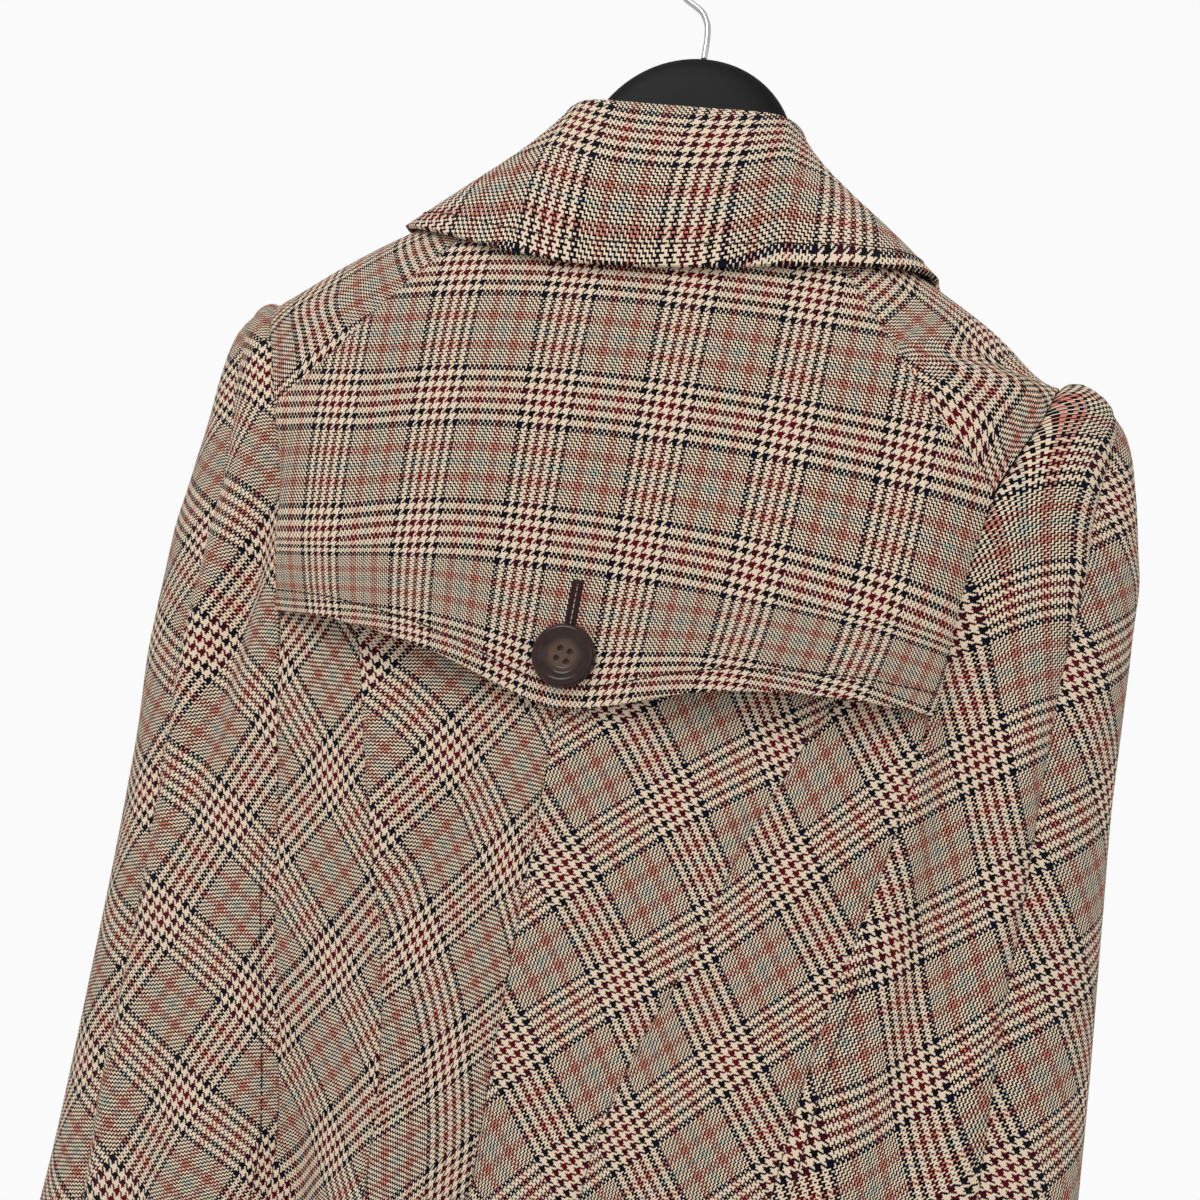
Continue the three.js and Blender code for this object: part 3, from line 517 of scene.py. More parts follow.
def opened(grid: Array, edges: Sequence[str]) -> Array:
    """Moves the named edges of a grid inwards by half the seam's gap."""
    moved = grid.copy()
    half = SEAM_GAP / 2
    if "first" in edges:
        moved[:, 0] += unit(grid[:, 1] - grid[:, 0]) * half
    if "last" in edges:
        moved[:, -1] += unit(grid[:, -2] - grid[:, -1]) * half
    if "bottom" in edges:
        moved[-1] += unit(moved[-2] - moved[-1]) * half
    return moved


def seam_dip(u: Array, width: float, edges: Sequence[str]) -> Array:
    """The shallow groove in which sewn edges turn in, by distance from the edge."""
    dip = np.zeros(np.shape(u))
    if "first" in edges:
        dip -= SEAM_DIP * bell((u - u.min()) * width, SEAM_DIP_WIDTH)
    if "last" in edges:
        dip -= SEAM_DIP * bell((u.max() - u) * width, SEAM_DIP_WIDTH)
    return dip


@dataclass
class Coat:
    """The coat: its skin, panels, flap and collar."""

    skin: Skin = field(default_factory=Skin)
    flap_stand_off: float = 13.0
    flap_button_stand_off: float = 5.0
    flap_end_stand_off: float = 2.5
    flap_topstitch: float = 9.5
    collar_topstitch: float = 11.0
    topstitch_sink: float = 0.5
    topstitch_sink_width: float = 1.6
    head_puff: float = 7.0
    overarm_groove: float = 2.5
    collar_clearance: float = 3.5
    collar_roll: float = 6.0
    collar_seat: float = 0.75
    slit_top_z: float = -560.0
    slit_bottom_z: float = -760.0
    slit_stand_off: float = 8.0

    def panel(
        self, rows: Array, columns: Array, place: Place, lift: Lift, edges: Sequence[str], width: float
    ) -> Wall:
        """Builds a panel's wall.

        Points are skin + normal * lift for the outer face and one wall thickness less for the
        inner face, over all rows and columns at once.

        Args:
            rows: grid values down the panel.
            columns: grid values across it.
            place: gives angle and height for (u, v).
            lift: gives the outer face's height above the skin for (u, v).
            edges: the sides that are sewn to a neighbour.
            width: about how wide the panel is, for the grooves at its seams.

        Returns:
            The wall, with panel coordinates measured from its middle column.
        """
        u, v = np.meshgrid(columns, rows)
        angle, z = place(u, v)
        base, normal = self.skin.point(angle, z), self.skin.outward(angle, z)
        height = (lift(u, v) + seam_dip(u, width, edges))[..., None]
        outer = opened(base + normal * height, edges)
        inner = opened(base + normal * (height - WALL), edges)
        middle = len(columns) // 2
        across = arc(outer, 1)
        across -= across[:, middle : middle + 1]
        along = np.repeat(arc(outer, 0)[:, middle : middle + 1], len(columns), axis=1)
        return Wall(outer, inner, across, along)

    def under_flap(self, z: Array) -> Array:
        """The back lies one layer deeper where the flap covers it."""
        return -(WALL + 1.5 * SEAM_GAP) * (1.0 - ease(-350, -425, z))

    def back_outer(self, side: Side, z: Array) -> Array:
        """The angle of the back's outer seam: yoke, then armhole, then princess seam."""
        yoke = self.skin.seam_angle(YOKE_SEAM, side, z, Face.BACK)
        hole = self.skin.seam_angle(ARMHOLE, side, z, Face.BACK)
        princess = self.skin.seam_angle(PRINCESS, side, z, Face.BACK)
        return np.where(z >= YOKE_END_Z, yoke, np.where(z > PRINCESS_TOP_Z, hole, princess))

    def back(self, side: Side) -> Wall:
        """One half of the back, from the centre seam outwards."""
        rows = spread(BACK_NECK_Z, HEM_Z, GRID_STEP)
        return self.panel(
            rows, np.linspace(0, 1, 30), lambda u, z: (self.back_outer(side, z) * u, z),
            lambda u, z: self.under_flap(z), ("first", "last"), 110.0,
        )

    def side_back(self, side: Side) -> Wall:
        """The panel between the princess seam and the side seam."""
        rows = spread(PRINCESS_TOP_Z, HEM_Z, GRID_STEP)

        def place(u: Array, z: Array) -> tuple[Array, Array]:
            """Blends from the princess seam to the armhole seam."""
            inner = self.skin.seam_angle(PRINCESS, side, z, Face.BACK)
            return mix(inner, self.skin.seam_angle(ARMHOLE, side, z, Face.BACK), u), z

        return self.panel(
            rows, np.linspace(0, 1, 20), place, lambda u, z: self.under_flap(z), ("first", "last"), 55.0
        )

    def overarm(self, side: Side, z: Array) -> Array:
        """The angle of the over-arm seam."""
        return side.value * np.radians(OVERARM.smooth(side.word, z))

    def girth(self, a: Array, b: Array, z: Array) -> Array:
        """Straight distance between two angles at one height."""
        return np.linalg.norm(self.skin.point(a, z) - self.skin.point(b, z), axis=-1)

    def puff(self, away: Array, z: Array) -> Array:
        """The cape's head stands up from its seam and settles below the shoulder."""
        return self.head_puff * (1.0 - np.exp(-away / 5.0)) * (1.0 - ease(-235, -335, z))

    def cape_rows(self) -> Array:
        """Heights of the cape's rows, finer over the head."""
        head = np.array([-221.5, -222.5, -224.0, -226.0, -228.5])
        return np.concatenate([head, spread(-231.0, HEM_Z, GRID_STEP)])

    def cape_back(self, side: Side) -> Wall:
        """The cape from the armhole seam behind to the over-arm seam."""

        def ends(z: Array) -> tuple[Array, Array]:
            """The angles of the panel's two seams."""
            return self.skin.seam_angle(ARMHOLE, side, z, Face.BACK), self.overarm(side, z)

        def lift(u: Array, z: Array) -> Array:
            """The head's fullness and the groove of the over-arm seam."""
            width = self.girth(*ends(z), z)
            return self.puff(u * width, z) - self.overarm_groove * bell((1 - u) * width, 7.0)

        return self.panel(
            self.cape_rows(), np.linspace(0, 1, 28), lambda u, z: (mix(*ends(z), u), z), lift,
            ("first", "last"), 95.0,
        )

    def cape_front(self, side: Side) -> Wall:
        """The cape from the over-arm seam round the side to the front, with the hand slit."""

        def ends(z: Array) -> tuple[Array, Array]:
            """The angles of the panel's two seams."""
            return self.overarm(side, z), self.skin.seam_angle(FRONT_ARMHOLE, side, z, Face.FRONT)

        def lift(u: Array, z: Array) -> Array:
            """The head's fullness, the over-arm groove and the slit's standing edge."""
            width = self.girth(*ends(z), z)
            t = np.clip((self.slit_top_z - z) / (self.slit_top_z - self.slit_bottom_z), 0, 1)
            mouth = self.slit_stand_off * np.sin(np.pi * t) ** 2
            groove = self.overarm_groove * bell(u * width, 7.0)
            return self.puff((1 - u) * width, z) - groove + mouth * bell((1 - u) * width, 24.0)

        return self.panel(
            self.cape_rows(), np.linspace(0, 1, 44), lambda u, z: (mix(*ends(z), u), z), lift,
            ("first", "last"), 190.0,
        )

    def neck_edge_x(self, z: Array) -> Array:
        """The front neckline: a quarter ellipse from the yoke down to past the centre."""
        t = np.clip((FRONT_YOKE_Z - z) / (FRONT_YOKE_Z - FRONT_NECK_Z), 0, 1)
        top = float(FRONT_YOKE_SEAM.smooth("left", FRONT_YOKE_Z))
        return np.where(z <= FRONT_NECK_Z, -FRONT_LAP, mix(-FRONT_LAP, top, np.sqrt(1 - t * t)))

    def front_inner(self, side: Side, z: Array) -> Array:
        """The angle of the front's inner edge: neckline, then the edge past the centre."""
        x = self.neck_edge_x(z)
        return side.value * (math.pi - np.sign(x) * self.skin.angle_at(np.abs(x), z, Face.BACK))

    def front(self, side: Side) -> Wall:
        """One front, lapping over the centre; the right one lies on top."""
        rows = np.concatenate([spread(FRONT_YOKE_Z - 1, FRONT_NECK_Z, 2.2), spread(-212, HEM_Z, GRID_STEP)])

        def place(u: Array, z: Array) -> tuple[Array, Array]:
            """Blends from the neckline or front edge to the yoke or armhole seam."""
            yoke = self.skin.seam_angle(FRONT_YOKE_SEAM, side, z, Face.FRONT)
            hole = self.skin.seam_angle(FRONT_ARMHOLE, side, z, Face.FRONT)
            return mix(self.front_inner(side, z), np.where(z >= YOKE_END_Z, yoke, hole), u), z

        def lap(u: Array, z: Array) -> Array:
            """The wearer's right front lies over the left one at the centre."""
            if side is Side.LEFT:
                return np.zeros(np.shape(u))
            angle, z = place(u, z)
            away = np.abs(self.skin.point(angle, z)[..., 0]) * np.where(np.abs(angle) > math.pi, -1, 1)
            return FRONT_LIFT * (1 - ease(FRONT_LAP, 3 * FRONT_LAP, away))

        return self.panel(rows, np.linspace(0, 1, 42), place, lap, ("last",), 170.0)

    def yoke_place(self, side: Side, u: Array, height: Array) -> tuple[Array, Array]:
        """Places a point of the shoulder yoke.

        u runs from the back seam (1) over the ridge (0) to the front seam (-1), and height from
        the neck to the end of the shoulder, by the height at which the row meets the back seam.
        """
        size, behind = np.abs(u), u >= 0
        along = (height - BACK_NECK_Z) / (YOKE_END_Z - BACK_NECK_Z)
        front_height = np.minimum(height, FRONT_YOKE_Z - 1)
        seam_z = np.where(behind, height, front_height)
        z = mix(mix(SIDE_NECK_Z, SHOULDER_END_Z, along), seam_z, size**2)
        end_z = mix(SHOULDER_END_Z, YOKE_END_Z, size**2)

        def half(seam: Table, hole: Table, face: Face) -> Array:
            """The angle away from the ridge on one face."""
            def from_ridge(table: Table, at: Array) -> Array:
                """The seam's angle less a quarter turn."""
                return np.abs(self.skin.seam_angle(table, side, at, face)) - math.pi / 2

            share = from_ridge(hole, end_z) / from_ridge(hole, np.full(np.shape(end_z), YOKE_END_Z))
            return from_ridge(seam, seam_z) * mix(size, share, along)

        away = np.where(
            behind, half(YOKE_SEAM, ARMHOLE, Face.BACK), half(FRONT_YOKE_SEAM, FRONT_ARMHOLE, Face.FRONT)
        )
        return side.value * (math.pi / 2 + away), z

    def yoke(self, side: Side) -> Wall:
        """The shoulder yoke, over the ridge from the back seam to the front seam."""
        return self.panel(
            spread(BACK_NECK_Z, YOKE_END_Z, 3.2), np.linspace(-1, 1, 41),
            lambda u, v: self.yoke_place(side, u, v), lambda u, v: np.zeros(np.shape(u)),
            ("first", "last", "bottom"), 45.0,
        )

    def flap_outer(self, sign: Array, z: Array) -> Array:
        """The flap's outer seam: along the yoke, then down the armhole."""
        seams = {
            side: np.where(z >= YOKE_END_Z, YOKE_SEAM.smooth(side.word, z), ARMHOLE.smooth(side.word, z))
            for side in Side
        }
        return np.where(sign >= 0, seams[Side.LEFT], -seams[Side.RIGHT])

    def flap_place(self, u: Array, v: Array) -> tuple[Array, Array]:
        """Places a point of the flap: v is a height down to the princess seam's top, and below
        that the share (0 to 1) of the way to the curved lower edge."""
        sign = np.where(u < 0, -1.0, 1.0)
        size = np.abs(u)
        edge_x = np.abs(self.flap_outer(sign, np.full(np.shape(u), PRINCESS_TOP_Z))) * size
        edge_z = FLAP_EDGE.smooth("z", edge_x) + np.where(sign > 0, 1.5, -0.5) * ease(60, 150, edge_x)
        z = np.where(v <= 0, v, mix(PRINCESS_TOP_Z, edge_z, np.clip(v, 0, 1)))
        return self.skin.angle_at(self.flap_outer(sign, z), z, Face.BACK) * size, z

    def flap_lift(self, u: Array, v: Array) -> Array:
        """How far the flap stands off, growing towards its lower edge, least at the button.

        The topstitching draws a narrow groove into it at its own distance from the edge.
        """
        z = self.flap_place(u, v)[1]
        size = np.abs(u)
        arcs = mix(self.flap_button_stand_off, self.flap_stand_off, ease(0.08, 0.4, size))
        edge = mix(arcs, self.flap_end_stand_off, ease(0.72, 1, size))
        edge_z = self.flap_place(u, np.ones(np.shape(u)))[1]
        inset = (1 - np.clip(v, 0, 1)) * (PRINCESS_TOP_Z - edge_z)
        groove = self.topstitch_sink * bell(inset - self.flap_topstitch, self.topstitch_sink_width)
        return edge * ease(-215, -395, z) ** 1.3 - groove

    def flap_rows(self) -> Array:
        """The flap's rows: heights, then shares of the lower part, finer at the stitching."""
        lower = np.array([0.08, 0.18, 0.28, 0.38, 0.48, 0.56, 0.62, 0.67, 0.71, 0.74, 0.77, 0.8, 0.84,
                          0.88, 0.92, 0.95, 0.98, 1.0])
        return np.concatenate([spread(BACK_NECK_Z, PRINCESS_TOP_Z, 4.0), lower])

    def flap(self) -> Wall:
        """The storm flap across the back."""
        return self.panel(
            self.flap_rows(), np.linspace(-1, 1, 91), self.flap_place, self.flap_lift,
            ("first", "last"), 150.0,
        )

    def neckline(self, t: Array) -> tuple[Array, Array]:
        """Angle and height of the neckline from the centre back (0) to the centre front (1)."""
        behind_x = np.clip(t / 0.3, 0, 1) * float(YOKE_SEAM.smooth("left", BACK_NECK_Z))
        back_z = np.full(np.shape(t), BACK_NECK_Z)
        ridge_u = np.where(t <= 0.5, 1 - (t - 0.3) / 0.2, -(t - 0.5) / 0.15)
        yoke_angle, yoke_z = self.yoke_place(Side.LEFT, np.clip(ridge_u, -1, 1), back_z)
        turn = mix(0.0185, 1.257, np.clip((t - 0.65) / 0.35, 0, 1))
        front_z = mix(FRONT_YOKE_Z, FRONT_NECK_Z, np.sin(turn))
        front_angle = self.front_inner(Side.LEFT, front_z)
        back_angle = self.skin.angle_at(behind_x, back_z, Face.BACK)
        on_yoke = t <= 0.65
        angle = np.where(t <= 0.3, back_angle, np.where(on_yoke, yoke_angle, front_angle))
        return angle, np.where(t <= 0.3, back_z, np.where(on_yoke, yoke_z, front_z))

    def collar_foot(self, t: Array, rise: Array) -> Array:
        """Points on the skin's slope, rise above the neckline towards the neck."""
        angle, z = self.neckline(t)
        before = self.skin.point(*self.neckline(np.maximum(t - 0.01, 0)))
        after = self.skin.point(*self.neckline(np.minimum(t + 0.01, 1)))
        normal = self.skin.outward(angle, z)
        up = unit(np.cross(after - before, normal))
        seat = self.skin.point(angle, z) - normal * WALL / 2
        toward = np.sign((up * (np.array([0.0, 0.0, -66.5]) - seat)).sum(-1, keepdims=True))
        return seat + up * toward * rise[..., None]

    def collar_half(self, side: Side, t: Array) -> Array:
        """The collar's middle surface on one side.

        Down each profile: a straight stand from the seam to the fold, a curved roll over it and
        a fall that bulges by 3 sin(pi s) on its way to the outer edge.

        Args:
            side: the wearer's side.
            t: places from the centre back (0) to the centre front (1).

        Returns:
            Points shaped (profile, t, 3).
        """
        rise = self.collar_seat + 2.4 * bell(t - 0.67, 0.05)
        seat, foot = self.collar_foot(t, rise), self.collar_foot(t, rise + 3)
        fold = np.stack([COLLAR_FOLD.smooth(name, t) for name in (side.word, "y", "z")], -1)
        edge_angle, edge_z = np.radians(COLLAR_EDGE.smooth("deg", t)), COLLAR_EDGE.smooth(side.word, t)
        clearance = (self.collar_clearance + FRONT_LIFT * ease(0.7, 0.86, t))[..., None]
        edge = self.skin.point(edge_angle, edge_z) + self.skin.outward(edge_angle, edge_z) * clearance
        away = edge - fold
        away[..., 2] = 0
        away = unit(away)
        roll = mix(self.collar_roll, 4.0, ease(0.7, 1, t))[..., None]
        drop = np.array([0.0, 0.0, -0.6]) * roll
        stand_top, shoulder = fold + drop, fold + away * roll + drop
        crest = fold + away * roll * 0.5 + np.array([0.0, 0.0, 0.6]) * roll
        rows = [seat, foot]
        rows += [mix(foot, stand_top, s) for s in np.linspace(0.12, 1, 8)]
        rows += [mix(mix(stand_top, crest, s), mix(crest, shoulder, s), s) for s in np.linspace(0.12, 1, 8)]
        for s in spread(0.0, 1.0, 0.045, (0.015, 0.08, 0.095, 0.11))[1:]:
            bulge = 3.0 * math.sin(math.pi * s)
            rows.append(mix(shoulder, edge, s) + away * bulge + np.array([0.0, 0.0, bulge]))
        half = np.stack(rows)
        half[..., 0] *= side.value
        return half

    def collar(self) -> Wall:
        """The turned-down collar, one folded wall."""
        t = np.linspace(0, 1, 76)
        right = self.collar_half(Side.RIGHT, t)[:, ::-1]
        middle = np.concatenate([right[:, :-1], self.collar_half(Side.LEFT, t)], axis=1)
        normal = grid_normals(middle)
        columns = middle.shape[1]
        across = arc(middle, 1)
        across -= across[:, columns // 2 : columns // 2 + 1]
        along = arc(middle, 0)
        return Wall(middle + normal * WALL / 2, middle - normal * WALL / 2, across, along)


class Value:
    """A shader value that builds Math nodes from Python expressions."""

    def __init__(self, nodes: "NodeSheet", socket: bpy.types.NodeSocket) -> None:
        """Keeps the sheet of nodes and the socket that carries the value."""
        self.nodes = nodes
        self.socket = socket

    def _math(self, operation: str, *inputs: "Value | float") -> "Value":
        """Adds one Math node."""
        return self.nodes.math(operation, *inputs)

    def __add__(self, other: "Value | float") -> "Value":
        """self + other."""
        return self._math("ADD", self, other)

    __radd__ = __add__

    def __sub__(self, other: "Value | float") -> "Value":
        """self - other."""
        return self._math("SUBTRACT", self, other)

    def __rsub__(self, other: float) -> "Value":
        """other - self."""
        return self._math("SUBTRACT", other, self)

    def __mul__(self, other: "Value | float") -> "Value":
        """self * other."""
        return self._math("MULTIPLY", self, other)

    __rmul__ = __mul__

    def __truediv__(self, other: "Value | float") -> "Value":
        """self / other."""
        return self._math("DIVIDE", self, other)

    def __lt__(self, other: "Value | float") -> "Value":
        """1 where self is less than other."""
        return self._math("LESS_THAN", self, other)

    def __abs__(self) -> "Value":
        """The value without its sign."""
        return self._math("ABSOLUTE", self)

    def floor(self) -> "Value":
        """The whole number below."""
        return self._math("FLOOR", self)

    def wrapped(self, length: float) -> "Value":
        """The remainder from 0 up to length."""
        return self._math("WRAP", self, length, 0.0)


@dataclass
class NodeSheet:
    """A material's nodes."""

    material: bpy.types.Material

    @classmethod
    def new(cls, name: str) -> "NodeSheet":
        """An empty material with an output."""
        material = bpy.data.materials.new(name)
        material.use_nodes = True
        material.node_tree.nodes.clear()
        return cls(material)

    def add(self, kind: str, settings: dict | None = None, inputs: dict | None = None) -> bpy.types.Node:
        """Adds a node.

        Args:
            kind: the node's type.
            settings: attributes to set first; "stops" fills a colour ramp.
            inputs: values or links by socket name or number.

        Returns:
            The node.
        """
        node = self.material.node_tree.nodes.new(kind)
        for name, value in (settings or {}).items():
            if name == "stops":
                self._fill_ramp(node.color_ramp, value)
            else:
                setattr(node, name, value)
        for name, value in (inputs or {}).items():
            self._feed(node.inputs[name], value)
        return node

    @staticmethod
    def _fill_ramp(ramp: bpy.types.ColorRamp, stops: Sequence[tuple[float, Sequence[float]]]) -> None:
        """Sets a ramp's constant stops."""
        ramp.interpolation = "CONSTANT"
        while len(ramp.elements) > 1:
            ramp.elements.remove(ramp.elements[-1])
        for k, (place, colour) in enumerate(stops):
            element = ramp.elements[0] if k == 0 else ramp.elements.new(place)
            element.position = place
            element.color = (*colour, 1.0)

    def _feed(self, socket: bpy.types.NodeSocket, value: object) -> None:
        """Links or sets one input socket."""
        if isinstance(value, Value):
            value = value.socket
        if isinstance(value, bpy.types.NodeSocket):
            self.material.node_tree.links.new(value, socket)
        else:
            socket.default_value = value

    def math(self, operation: str, *inputs: "Value | float") -> Value:
        """Adds a Math node and returns its value."""
        node = self.add("ShaderNodeMath", {"operation": operation}, dict(enumerate(inputs)))
        return Value(self, node.outputs[0])

    def blend(self, share: "Value | float", a: object, b: object, way: str = "MIX") -> bpy.types.NodeSocket:
        """Blends two colours by a share."""
        node = self.add("ShaderNodeMix", {"data_type": "RGBA", "blend_type": way}, {0: share, 6: a, 7: b})
        return node.outputs[2]

    def noise(self, where: bpy.types.NodeSocket, scale: float, detail: float = 2.0) -> Value:
        """Noise from 0 to 1 at a place."""
        node = self.add("ShaderNodeTexNoise", {}, {"Vector": where, "Scale": scale, "Detail": detail})
        return Value(self, node.outputs["Fac"])

    def finish(self, shader: bpy.types.Node) -> bpy.types.Material:
        """Joins the shader to the material's output."""
        out = self.add("ShaderNodeOutputMaterial")
        self.material.node_tree.links.new(shader.outputs[0], out.inputs["Surface"])
        return self.material


def linear(red: float, green: float, blue: float) -> Colour:
    """Linear colour of screen values from 0 to 255."""
    values = [c / 255.0 for c in (red, green, blue)]
    return tuple(c / 12.92 if c <= 0.04045 else ((c + 0.055) / 1.055) ** 2.4 for c in values)


@dataclass(frozen=True)
class GlenCheck:
    """The coat's cloth: a two-and-two twill in a glen check.

    One repeat is 96 threads each way: 44 threads of four dark, four light, then 52 threads of one
    dark, one light. The same order runs in the warp and the weft.
    """

    band: int = 44
    repeat: int = 96
    cream: Colour = linear(253, 231, 204)
    black: Colour = linear(12, 4, 6)
    navy: Colour = linear(4, 12, 34)
    burgundy: Colour = linear(98, 0, 20)
    coral: Colour = linear(226, 146, 128)
    teal: Colour = linear(206, 214, 200)

    def yarn(self, sheet: NodeSheet, thread: Value) -> bpy.types.NodeSocket:
        """The colour of a thread by its number.

        Args:
            sheet: the material's nodes.
            thread: the thread's whole number.

        Returns:
            The colour socket.
        """
        place = thread.wrapped(float(self.repeat))
        darks = (self.navy, self.black, self.burgundy, self.burgundy, self.black, self.navy)
        groups = []
        for k, dark in enumerate(darks):
            groups.append((8 * k / self.band, dark))
            if k < 5:
                groups.append(((8 * k + 4) / self.band, self.cream))
        wide = sheet.add("ShaderNodeValToRGB", {"stops": groups}, {0: (place + 0.5) / float(self.band)})
        fine_count = self.repeat - self.band
        lights = [(0, self.cream), (12, self.coral), (18, self.cream), (24, self.teal), (28, self.cream),
                  (34, self.coral), (40, self.cream)]
        stops = [(start / fine_count, colour) for start, colour in lights]
        light = sheet.add("ShaderNodeValToRGB", {"stops": stops},
                          {0: (place - float(self.band) + 0.5) / float(fine_count)})
        odd = place.wrapped(2.0) < 0.5
        fine = sheet.blend(odd, light.outputs[0], (*self.black, 1.0))
        return sheet.blend(place < self.band - 0.5, fine, wide.outputs[0])

    def make(self) -> bpy.types.Material:
        """Builds the material.

        End i and pick j cross at floor(u / THREAD), floor(v / THREAD). The end is on top where
        (i - j) mod 4 is less than 2, and each float is a rounded ridge.
        """
        sheet = NodeSheet.new("checked_wool_twill")
        uv = sheet.add("ShaderNodeUVMap", {"uv_map": "cloth"}).outputs[0]
        wobble = sheet.add("ShaderNodeTexNoise", {}, {"Vector": uv, "Scale": 900.0, "Detail": 1.0})
        split = sheet.add("ShaderNodeSeparateXYZ", {}, {0: uv})
        jitter = sheet.add("ShaderNodeSeparateXYZ", {}, {0: wobble.outputs["Color"]})
        u = Value(sheet, split.outputs[0]) + (Value(sheet, jitter.outputs[0]) - 0.5) * 0.0002
        v = Value(sheet, split.outputs[1]) + (Value(sheet, jitter.outputs[1]) - 0.5) * 0.0002
        ends, picks = u / (THREAD * MM), v / (THREAD * MM)
        end, pick = ends.floor(), picks.floor()
        on_top = (end - pick + 0.25).wrapped(4.0) < 2.0
        colour = sheet.blend(on_top, self.yarn(sheet, pick), self.yarn(sheet, end))
        end_round = 1.0 - abs(ends - end - 0.5) * 2.0
        pick_round = 1.0 - abs(picks - pick - 0.5) * 2.0
        height = on_top * end_round + (1.0 - on_top) * pick_round
        heather = sheet.noise(uv, 1400.0, 2.0)
        shade = sheet.add("ShaderNodeHueSaturation", {}, {"Value": heather * 0.3 + 0.85, "Color": colour})
        bump = sheet.add(
            "ShaderNodeBump", {}, {"Strength": 0.5, "Distance": 0.0003, "Height": height + heather * 0.7}
        )
        shader = sheet.add(
            "ShaderNodeBsdfPrincipled", {},
            {"Base Color": shade.outputs[0], "Roughness": 0.92, "Sheen Weight": 0.03,
             "Sheen Roughness": 0.6, "Specular IOR Level": 0.1, "Normal": bump.outputs[0]},
        )
        return sheet.finish(shader)


@dataclass(frozen=True)
class PlainFinish:
    """A finish of one colour with a little grain."""

    name: str
    colour: Colour
    roughness: float
    metallic: float = 0.0
    grain: float = 0.05
    scale: float = 600.0
    specular: float = 0.5

    def make(self) -> bpy.types.Material:
        """Builds the material with a fine noise in colour, roughness and height."""
        sheet = NodeSheet.new(self.name)
        where = sheet.add("ShaderNodeTexCoord").outputs["Object"]
        noise = sheet.noise(where, self.scale)
        shade = sheet.add(
            "ShaderNodeHueSaturation", {}, {"Value": noise * (2 * self.grain) + (1 - self.grain),
                                            "Color": (*self.colour, 1.0)}
        )
        relief = {"Strength": self.grain, "Distance": 0.0002, "Height": noise}
        bump = sheet.add("ShaderNodeBump", {}, relief)
        shader = sheet.add(
            "ShaderNodeBsdfPrincipled", {},
            {"Base Color": shade.outputs[0], "Roughness": noise * self.grain + self.roughness,
             "Metallic": self.metallic, "Specular IOR Level": self.specular, "Normal": bump.outputs[0]},
        )
        return sheet.finish(shader)


@dataclass(frozen=True)
class Horn:
    """Dark brown horn with a paler, olive middle and soft streaks."""

    rim: Colour = linear(20, 8, 6)
    middle: Colour = linear(104, 84, 70)
    streak: Colour = linear(66, 40, 36)

    def make(self) -> bpy.types.Material:
        """Builds the material; the button's own map holds its place from the middle."""
        sheet = NodeSheet.new("dark_horn")
        uv = sheet.add("ShaderNodeUVMap", {"uv_map": "cloth"}).outputs[0]
        split = sheet.add("ShaderNodeSeparateXYZ", {}, {0: uv})
        x, y = Value(sheet, split.outputs[0]) * (1 / MM), Value(sheet, split.outputs[1]) * (1 / MM)
        radius = sheet.math("SQRT", x * x + y * y)
        streaks = sheet.noise(uv, 260.0, 4.0)
        inside = sheet.math("SMOOTH_MIN", sheet.math("MAXIMUM", (8.5 - radius) * 0.28, 0.0), 1.0, 0.2)
        body = sheet.blend(streaks, (*self.rim, 1.0), (*self.streak, 1.0))
        colour = sheet.blend(inside * (streaks * 0.6 + 0.45), body, (*self.middle, 1.0))
        shader = sheet.add(
            "ShaderNodeBsdfPrincipled", {},
            {"Base Color": colour, "Roughness": streaks * 0.1 + 0.12, "Specular IOR Level": 0.4},
        )
        return sheet.finish(shader)


